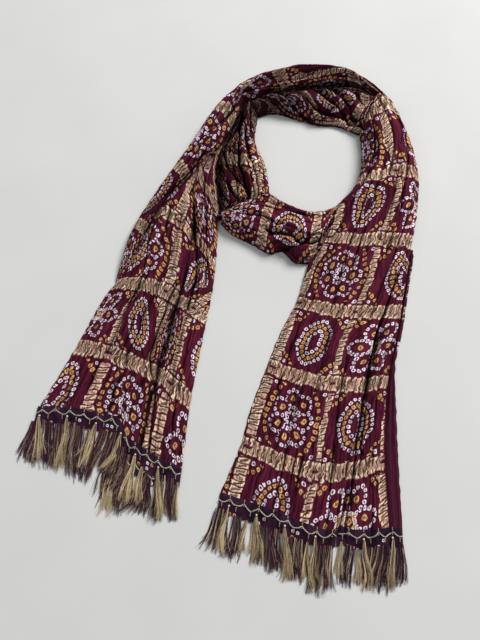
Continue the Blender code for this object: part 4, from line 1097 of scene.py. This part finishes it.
def patterned_cloth(name):
    """Crinkled plum cloth with tie-dyed dots in a check of woven gold, its colour darkened by painted shade
    in folds, crinkles and crease lines.
    """
    finish = Finish(name, roughness=0.75, specular=0.05)
    u, v = finish.cloth_place()
    u = u + (finish.noise((u, v), 11.0) - 0.5) * 5.5
    v = v + (finish.noise((u + 300.0, v), 11.0) - 0.5) * 5.5
    ladder_off = nearest(u, CELL_WIDTH)
    band_off = nearest(v, CELL_LENGTH)
    gold, light, luck = gold_check(finish, u, v, ladder_off, band_off)
    clear = abs(ladder_off).rise(*LADDER_CLEAR) * abs(band_off).rise(*BAND_CLEAR)
    uneven = (finish.noise((u, v, 12.0), 3.6, detail=0.0) - 0.5) * 1.1
    white, yellow = (distance + uneven for distance in dot_pattern(u, v))
    white_ring = white.rise(*WHITE_EDGE) * white.rise(*WHITE_HOLE) * clear
    yellow_ring = yellow.rise(*YELLOW_EDGE) * clear
    yellow_eye = yellow.rise(*EYE_EDGE)

    crinkle = finish.noise((u * 0.31, v * 0.028), detail=4.0)
    # Thin lengthwise crease lines: a small bump, and painted shade that darkens the colour along them.
    line = abs(finish.noise((u * 0.12, v * 0.010, 7.0)) - 0.5).rise(0.026, 0.0)
    fine = abs(finish.noise((u * 0.26, v * 0.016, 8.0), detail=1.0) - 0.5).rise(0.030, 0.0)
    line = line.most(fine * 0.7)
    worn = finish.noise((u, v, 9.0), 34.0, detail=3.0)
    thread = finish.noise((u * 3.2, v * 0.9), detail=1.0)
    fleck = finish.noise((u * 1.1, v * 0.5, 2.0))
    # Ground tone: painted shade in the crinkles' valleys, with random wear and thread tone.
    crinkle_shade_and_wear = crinkle * 0.6 + worn * 0.35 + thread * 0.15
    ground = finish.colour(crinkle_shade_and_wear.rise(0.36, 0.72), PLUM_DEEP, PLUM_LIT)
    fill = finish.colour((worn * 0.5 + luck + fleck * 0.5).rise(0.50, 1.00), GOLD_PINK, GOLD_PALE)
    fill = finish.colour(light * (fleck.rise(0.28, 0.46) * 0.45 + 0.55), GOLD_BROWN, fill)
    base = finish.colour(gold, ground, fill)
    bright = finish.colour(fleck.rise(0.45, 0.62) * 0.7, MUSTARD, YELLOW_PALE)
    base = finish.colour(yellow_ring, base, finish.colour(yellow_eye * 0.85, bright, OLIVE_EYE))
    base = finish.colour(white_ring * (worn * 0.5 + 0.70).least(1.0), base, LILAC_WHITE)
    # Painted shade: the mesh's fold and neighbour shade, and the crease lines, darken the colour towards
    # near-black.
    shade = (finish.attribute("hollow") * 0.96).most(line * (1.0 - gold * 0.5) * 0.62)
    base = finish.colour(shade, base, PAINTED_SHADE_COLOUR)

    raised = gold * (light * 0.5 + 0.5) + white.rise(*WHITE_RAISED) * clear * 0.4 + yellow_ring * 0.4
    creped = finish.bump(crinkle - line * 0.25 + thread * 0.06, 0.0032, 1.0)
    return finish.done(base, finish.bump(raised, 0.0008, 0.9, under=creped), 0.76 - gold * 0.16)


def plain_cloth(name):
    """The cloth's plain side: plum crinkles with a fine weave, its colour darkened by painted shade in
    crinkles and folds.
    """
    finish = Finish(name, roughness=0.78, specular=0.06)
    u, v = finish.cloth_place()
    crinkle = finish.noise((u * 0.20, v * 0.02), detail=3.0)
    worn = finish.noise((u, v, 2.0), 30.0, detail=3.0)
    weave = finish.noise((u * 0.6, v * 2.0), detail=1.0)
    # Painted shade in the crinkles' valleys, with random wear.
    base = finish.colour((crinkle * 0.8 + worn * 0.4).rise(0.35, 0.85), PLUM_DEEP, PLUM_BACK)
    # Painted shade in folds and under neighbours.
    base = finish.colour(finish.attribute("hollow") * 0.7, base, PAINTED_SHADE_COLOUR)
    return finish.done(base, finish.bump(crinkle + weave * 0.1, 0.0015, 0.8))


cloth_finish = patterned_cloth("tie_dyed_cloth")
back_finish = plain_cloth("plain_plum_cloth")
hem_rows = {}
for stretch in STRETCHES:
    plain = stretch is RIGHT_TAIL_UNDER
    piece, hem_rows[stretch.name] = add_sheet(stretch, back_finish if plain else cloth_finish)


# ==== laces and tassels ====
def along_hem(lace, places):
    """Points (mm) of the cloth's end rows, at the given shares of the lace's length."""
    rows = np.vstack([hem_rows[name] for name in lace.stretches])
    run = run_along(rows[:, :2])
    at = run[-1] * (lace.start + (lace.end - lace.start) * places)
    return np.column_stack([np.interp(at, run, rows[:, k]) for k in range(3)])


def strip_length(lace):
    """Length of the lace's part of the hem."""
    line = along_hem(lace, np.linspace(0.0, 1.0, LINE_POINTS))
    return run_along(line[:, :2])[-1]


def foot_height(lace, places):
    """Height that the undersides of the tassels come down to."""
    return np.interp(places, *np.array(lace.feet).T)


def strip_height(lace, places, depth, hem_height):
    """Height of the strip: the hem's at its inner edge, eased down to its outer edge."""
    inner = (hem_height if lace.height is None else lace.height) + STRIP_LIFT
    share = smooth_step((depth - lace.offset) / lace.depth)
    return inner + (foot_height(lace, places) + STRIP_EDGE - inner) * share


def add_strip(lace, material):
    """The lace's cloth: a strip from just above the hem to where the tassels part, rippled a little, its
    outer edge scalloped and turned down."""
    length = strip_length(lace)
    places = np.linspace(0.0, 1.0, int(length * STRIP_COLUMNS))
    along = places * length
    hem = along_hem(lace, places)
    share = np.linspace(0.0, 1.0, STRIP_ROWS)[:, None]
    scallop = SCALLOP_DEPTH * (np.abs(np.sin(pi * along / SCALLOP_PITCH)) ** 0.7 - 1.0)
    lap = STRIP_LAP * (lace.height is None)
    depth = lace.offset - lap + share * (lace.depth + lap + scallop)
    plan = hem[None, :, :2] + unit(lace.down) * depth[:, :, None]
    ripple = 0.35 * sway(along / 7 + share, 61) + 0.25 * sway(along / 3, 62)
    height = strip_height(lace, places, depth, hem[:, 2]) + ripple * share
    edge_down = np.dstack([plan[-1:], np.full((1, len(along)), LEAST_SIDE_HEIGHT)])
    points = np.concatenate([np.dstack([plan, np.maximum(height, LEAST_STRIP_HEIGHT)]), edge_down])
    depth = np.concatenate([depth, depth[-1:] + 1.0])
    places = np.dstack([np.broadcast_to(along, depth.shape), depth])
    return new_sheet(lace.name + "_strip", points, places, STRIP_THICKNESS, material)


def tubes(paths, radii, sides):
    """Round tubes along many paths at once: paths (path, point, xyz) and radii (path, point), in mm."""
    run = np.gradient(paths, axis=1)
    run /= np.linalg.norm(run, axis=-1, keepdims=True)
    side = np.stack([-run[..., 1], run[..., 0], np.zeros(run.shape[:2])], axis=-1)
    side /= np.maximum(np.linalg.norm(side, axis=-1, keepdims=True), TINY)
    lift = np.cross(run, side)
    turn = tau * np.arange(sides)[:, None] / sides + pi / 2
    ring = radii[:, :, None, None] * (np.cos(turn) * side[:, :, None] + np.sin(turn) * lift[:, :, None])
    count, length = radii.shape
    first = (np.arange(count)[:, None, None] * length + np.arange(length - 1)[None, :, None]) * sides
    this, following = np.arange(sides), (np.arange(sides) + 1) % sides
    faces = np.stack([first + this, first + following, first + sides + following, first + sides + this],
                     axis=-1)
    return (paths[:, :, None] + ring).reshape(-1, 3), faces.reshape(-1, 4)


def add_tubes(name, parts, material):
    """Many sets of tubes (paths, radii, sides, shade, kind) as one piece, with the shade and the kind in the
    place on the cloth."""
    vertices, faces, places, count = [], [], [], 0
    for paths, radii, sides, *looks in parts:
        points, quads = tubes(paths, radii, sides)
        vertices.append(points)
        faces.append(quads + count)
        per_path = len(points) // len(paths)
        places.append(np.column_stack([np.repeat(np.broadcast_to(look, len(paths)), per_path)
                                       for look in looks]))
        count += len(points)
    return new_piece(name, to_metres(np.vstack(vertices)), np.vstack(faces), material, np.vstack(places))


def beads(centres, way, radius):
    """Paths and radii of small round beads: centres (bead, xyz), each a short tube with rounded ends."""
    step = np.array([-1.0, -0.8, -0.3, 0.3, 0.8, 1.0])
    paths = centres[:, None, :] + radius * step[None, :, None] * way
    return paths, np.broadcast_to(radius * np.sqrt(np.maximum(1 - step ** 2, 0.01)), paths.shape[:2])


def add_wave(lace, material):
    """The thread along the hem: a wave with pointed peaks, thicker between peak and valley, a line of beads
    at each peak and valley, and a white knot where a gold tassel starts."""
    length = strip_length(lace)
    way = np.append(unit(lace.down), 0.0)
    parts = []

    def at(places, down):
        share = places / length
        depth = lace.offset - LACE_GAP + down
        points = along_hem(lace, share)
        height = strip_height(lace, share, depth, points[:, 2]) + WAVE_RADIUS * 0.8
        return np.column_stack([points[:, :2] + way[:2] * depth[:, None], height])

    def add_beads(places, down, radius, light):
        paths, radii = beads(at(places, down), way, radius)
        parts.append((paths, radii, TUBE_SIDES, light, GOLD))

    for wave in lace.waves:
        end = min(wave.end, length)
        places = np.linspace(wave.start, end, int((end - wave.start) * WAVE_POINTS))
        turns = places / wave.pitch
        phase = pi * (places - wave.peak) / wave.pitch + 0.10 * sway(turns, 71)
        down = WAVE_DEPTH * np.abs(np.sin(phase)) ** 0.9 + 0.4 * sway(turns, 72)
        radii = WAVE_RADIUS * (0.72 + 0.38 * np.abs(np.sin(2 * phase)) ** 0.6)
        parts.append((at(places, down)[None], radii[None], TUBE_SIDES, 0.50, GOLD))
        peaks = wave.peak + wave.pitch * np.arange(-12, 13)
        for bead in BEADS:
            row = peaks if bead.at_peak else peaks + 0.5 * wave.pitch
            row = row[(row > wave.start) & (row < end)]
            down = np.full(len(row), bead.off + WAVE_DEPTH * (not bead.at_peak))
            add_beads(row, down, BEAD_RADIUS, bead.light)
    knots = np.array([(tassel.place, tassel.drop) for tassel in lace.tassels
                      if tassel.kind == GOLD and tassel.drop < KNOT_DROP], float)
    if len(knots):
        add_beads(knots[:, 0], knots[:, 1] - KNOT_LIFT, KNOT_RADIUS, 1.0)
    return add_tubes(lace.name + "_wave", parts, material)


def add_tassels(lace, material):
    """The tassels: threads in locks, gathered at the root and spreading evenly to the tips as they sink to
    the surface.  A thread's heading is the tassel's lean eased in along it, its own share of the spread, and
    its lock's curl."""
    draw = np.random.default_rng(40 + len(lace.name) + len(lace.tassels))
    kind, place, drop, reach, lean, spread = np.array(lace.tassels, float).T
    gold = kind == GOLD
    lean = lean + draw.uniform(-5.0, 5.0, len(lean))
    reach = reach * draw.uniform(0.92, 1.10, len(lean))
    share = place / strip_length(lace)
    hem = along_hem(lace, share)
    count = len(lace.tassels)
    shape = (count, THREADS)
    lock = np.tile(np.arange(THREADS) % LOCKS, (count, 1))

    def of_lock(low, high):
        return np.take_along_axis(draw.uniform(low, high, (count, LOCKS)), lock, axis=1)

    side = (lock + 0.5) / LOCKS * 2.0 - 1.0 + of_lock(-0.16, 0.16) + draw.normal(0.0, 0.04, shape)
    side = side * np.abs(side) ** 0.3
    bow = draw.uniform(9.0, 22.0, count) * draw.choice([-1.0, 1.0], count)
    bow_start = draw.uniform(-0.6, 1.8, count)
    length = reach[:, None] * of_lock(0.84, 1.06) * (1.0 - 0.22 * draw.random(shape) ** 2.0)
    fan = np.degrees(np.arctan2(0.5 * spread, reach)) * np.where(gold, GOLD_FAN, PLUM_FAN)
    curl = of_lock(-14.0, 14.0) + draw.normal(0.0, 4.0, shape)
    curl = np.where(draw.random(shape) < STRAY_SHARE, curl * 3.0, curl)
    bend = of_lock(4.0, 13.0) + draw.normal(0.0, 3.0, shape)
    turn = of_lock(0.0, tau)
    along = np.linspace(0.0, 1.0, THREAD_POINTS)
    bowed = bow[:, None] * np.sin(4.2 * along + bow_start[:, None]) * along ** 0.7
    angle = np.radians((lean[:, None] * (0.5 + 0.5 * along) + bowed)[:, None, :]
                       + (fan[:, None] * side)[..., None] * (1.2 - 0.4 * along)
                       + curl[..., None] * along ** 2
                       + bend[..., None] * np.sin(5.0 * along + turn[..., None]) * along)
    x, y = unit(lace.down)
    cosine, sine = np.cos(angle), np.sin(angle)
    heading = np.stack([x * cosine + y * sine, y * cosine - x * sine], axis=-1)
    steps = heading[:, :, :-1] * (length[..., None, None] / (THREAD_POINTS - 1))
    walk = np.concatenate([np.zeros((*shape, 1, 2)), np.cumsum(steps, axis=2)], axis=2)
    half_root = np.where(gold, GOLD_ROOT, PLUM_ROOT * spread)[:, None]
    root = hem[:, :2] + unit(lace.down) * drop[:, None]
    plan = root[:, None, None, :] + walk + (half_root * -side)[..., None, None] * np.array([-y, x])
    high = strip_height(lace, share, drop, hem[:, 2]) + 0.5
    low = foot_height(lace, share) - 0.1
    beyond = along * length[..., None] + drop[:, None, None] - lace.offset - lace.depth
    fallen = smooth_step((beyond + 6.0) / 16.0)
    level = high[:, None, None] * (1 - fallen) + low[:, None, None] * fallen
    stack = of_lock(0.2, 1.0) * np.where(gold, 2.0, 1.2)[:, None] + draw.uniform(0.0, 0.5, shape)
    height = np.maximum(level + stack[..., None] * (1.0 - 0.5 * along), LEAST_THREAD_HEIGHT)
    paths = np.concatenate([plan, height[..., None]], axis=-1).reshape(-1, THREAD_POINTS, 3)
    radii = np.broadcast_to(THREAD_RADIUS * (1.0 - 0.45 * along), paths.shape[:2])
    shade = (of_lock(0.0, 0.75) + draw.uniform(0.0, 0.25, shape)).ravel()
    other = (of_lock(0.0, 1.0) < OTHER_LOCKS) | (draw.random(shape) < OTHER_THREADS)
    tint = np.where(gold[:, None] ^ other, GOLD, PLUM).ravel()
    return add_tubes(lace.name + "_tassels", [(paths, radii, THREAD_SIDES, shade, tint)], material)


def strip_cloth(name):
    """Dark aubergine cloth of the lace strip with a fine net weave and a few pale printed dots."""
    finish = Finish(name, roughness=0.75, specular=0.12, sheen=0.02)
    u, v = finish.cloth_place()
    net = (u * (tau / NET_PITCH)).math("SINE") * (v * (tau / NET_PITCH)).math("SINE")
    cloud = finish.noise((u, v, 4.0), 9.0, detail=3.0)
    base = finish.colour((net * 0.12 + cloud).rise(0.30, 0.75), (0.012, 0.004, 0.014), (0.050, 0.012, 0.042))
    base = finish.colour(v.rise(9.0, 14.0) * cloud.rise(0.3, 0.6), base, (0.060, 0.007, 0.026))
    luck = finish.chance((u / SPOT_PITCH).floor(), (v / SPOT_ROWS).floor())
    spot = dots(u + 0.5 * SPOT_PITCH, nearest(v - 0.5 * SPOT_ROWS, SPOT_ROWS), SPOT_PITCH)
    spot = spot.rise(1.9, 1.45) * spot.rise(0.4, 1.0) * luck.rise(0.80, 0.82) * v.rise(6.0, 7.0)
    base = finish.colour(spot, base, finish.colour(luck.rise(0.92, 0.94), LILAC_WHITE, MUSTARD))
    return finish.done(base, finish.bump(net * 0.5 + cloud, 0.0006, 0.8))


def silk_thread(name):
    """Shiny thread, gold or plum by the second place, each thread in a shade of its own by the first."""
    finish = Finish(name, roughness=0.45, specular=0.28)
    shade, kind = (place * MM for place in finish.cloth_place())
    gold = finish.colour(shade, (0.060, 0.036, 0.018), (1.00, 0.80, 0.48))
    plum = finish.colour(shade, (0.012, 0.002, 0.008), (0.086, 0.013, 0.047))
    streaks = finish.noise(finish.object_place(), 0.004)
    base = finish.colour(kind, gold, plum)
    return finish.done(finish.colour((streaks - 0.3) * 0.4, base, (0.02, 0.012, 0.010)))


def beige_thread(name):
    """Matt twisted thread and small thread beads, khaki to off-white by the first place."""
    finish = Finish(name, roughness=0.7, specular=0.3)
    shade = finish.cloth_place()[0] * MM
    base = finish.colour(shade, (0.10, 0.065, 0.05), (0.86, 0.78, 0.60))
    twist = finish.noise(finish.object_place(), 0.0011, detail=1.0)
    base = finish.colour(twist.rise(0.35, 0.65) * 0.5, base, (0.16, 0.11, 0.06))
    return finish.done(base, finish.bump(twist, 0.0004, 0.7))


strip_finish = strip_cloth("aubergine_net")
silk_finish = silk_thread("silk_thread")
wave_finish = beige_thread("beige_thread")
for lace in LACES:
    strip = add_strip(lace, strip_finish)
    wave = add_wave(lace, wave_finish)
    tassels = add_tassels(lace, silk_finish)
    for piece in (strip, wave, tassels):
        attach(piece, "root")
    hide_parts(lace.name)


# ==== floor, light and camera ====
CAMERA_PLACE = (0.0, -200.8, 618.0)      # mm on the laid stole
CAMERA_TILT = 18.0                       # degrees from straight down
SENSOR = 36.0
FOCAL = SENSOR * 520.0 / 640.0
FLOOR_HALF = 4.0
DAYLIGHT = (0.95, 0.97, 1.0)


def add_floor():
    """A plain pale floor under the stole."""
    finish = Finish("pale_floor", roughness=0.9, specular=0.2)
    cloud = finish.noise(finish.object_place(), 0.12, detail=3.0)
    material = finish.done(finish.colour(cloud, (0.61, 0.615, 0.605), (0.68, 0.685, 0.675)))
    corners = FLOOR_HALF * np.array([(-1, -1, 0), (1, -1, 0), (1, 1, 0), (-1, 1, 0)])
    new_piece("floor", corners, [(0, 1, 2, 3)], material, smooth=False)


def add_light(name, place, size, power, colour):
    """A soft area light, aimed at the stole."""
    lamp = bpy.data.lights.new(name, "AREA")
    lamp.shape = "DISK"
    lamp.size = size
    lamp.energy = power
    lamp.color = colour
    light = add_object(name, lamp)
    light.location = place
    light.rotation_euler = (-Vector(place)).to_track_quat("-Z", "Y").to_euler()


def add_daylight():
    """Soft light from all sides."""
    world = bpy.data.worlds.new("soft_daylight")
    world.use_nodes = True
    background = world.node_tree.nodes["Background"]
    background.inputs["Color"].default_value = (*DAYLIGHT, 1.0)
    background.inputs["Strength"].default_value = 0.34
    bpy.context.scene.world = world


def add_camera():
    """The camera above the stole, tilted a little from straight down."""
    data = bpy.data.cameras.new("camera")
    data.sensor_width = SENSOR
    data.lens = FOCAL
    camera = add_object("camera", data)
    camera.location = to_metres(CAMERA_PLACE)
    camera.rotation_euler = (radians(CAMERA_TILT), 0.0, 0.0)
    bpy.context.scene.camera = camera


add_floor()
add_light("window_light", (2.00, 2.10, 2.60), 1.50, 166.0, (1.0, 0.985, 0.965))
add_light("fill_light", (-1.2, -0.9, 1.4), 1.6, 4.0, DAYLIGHT)
add_daylight()
add_camera()
bpy.context.scene.view_settings.view_transform = "Standard"
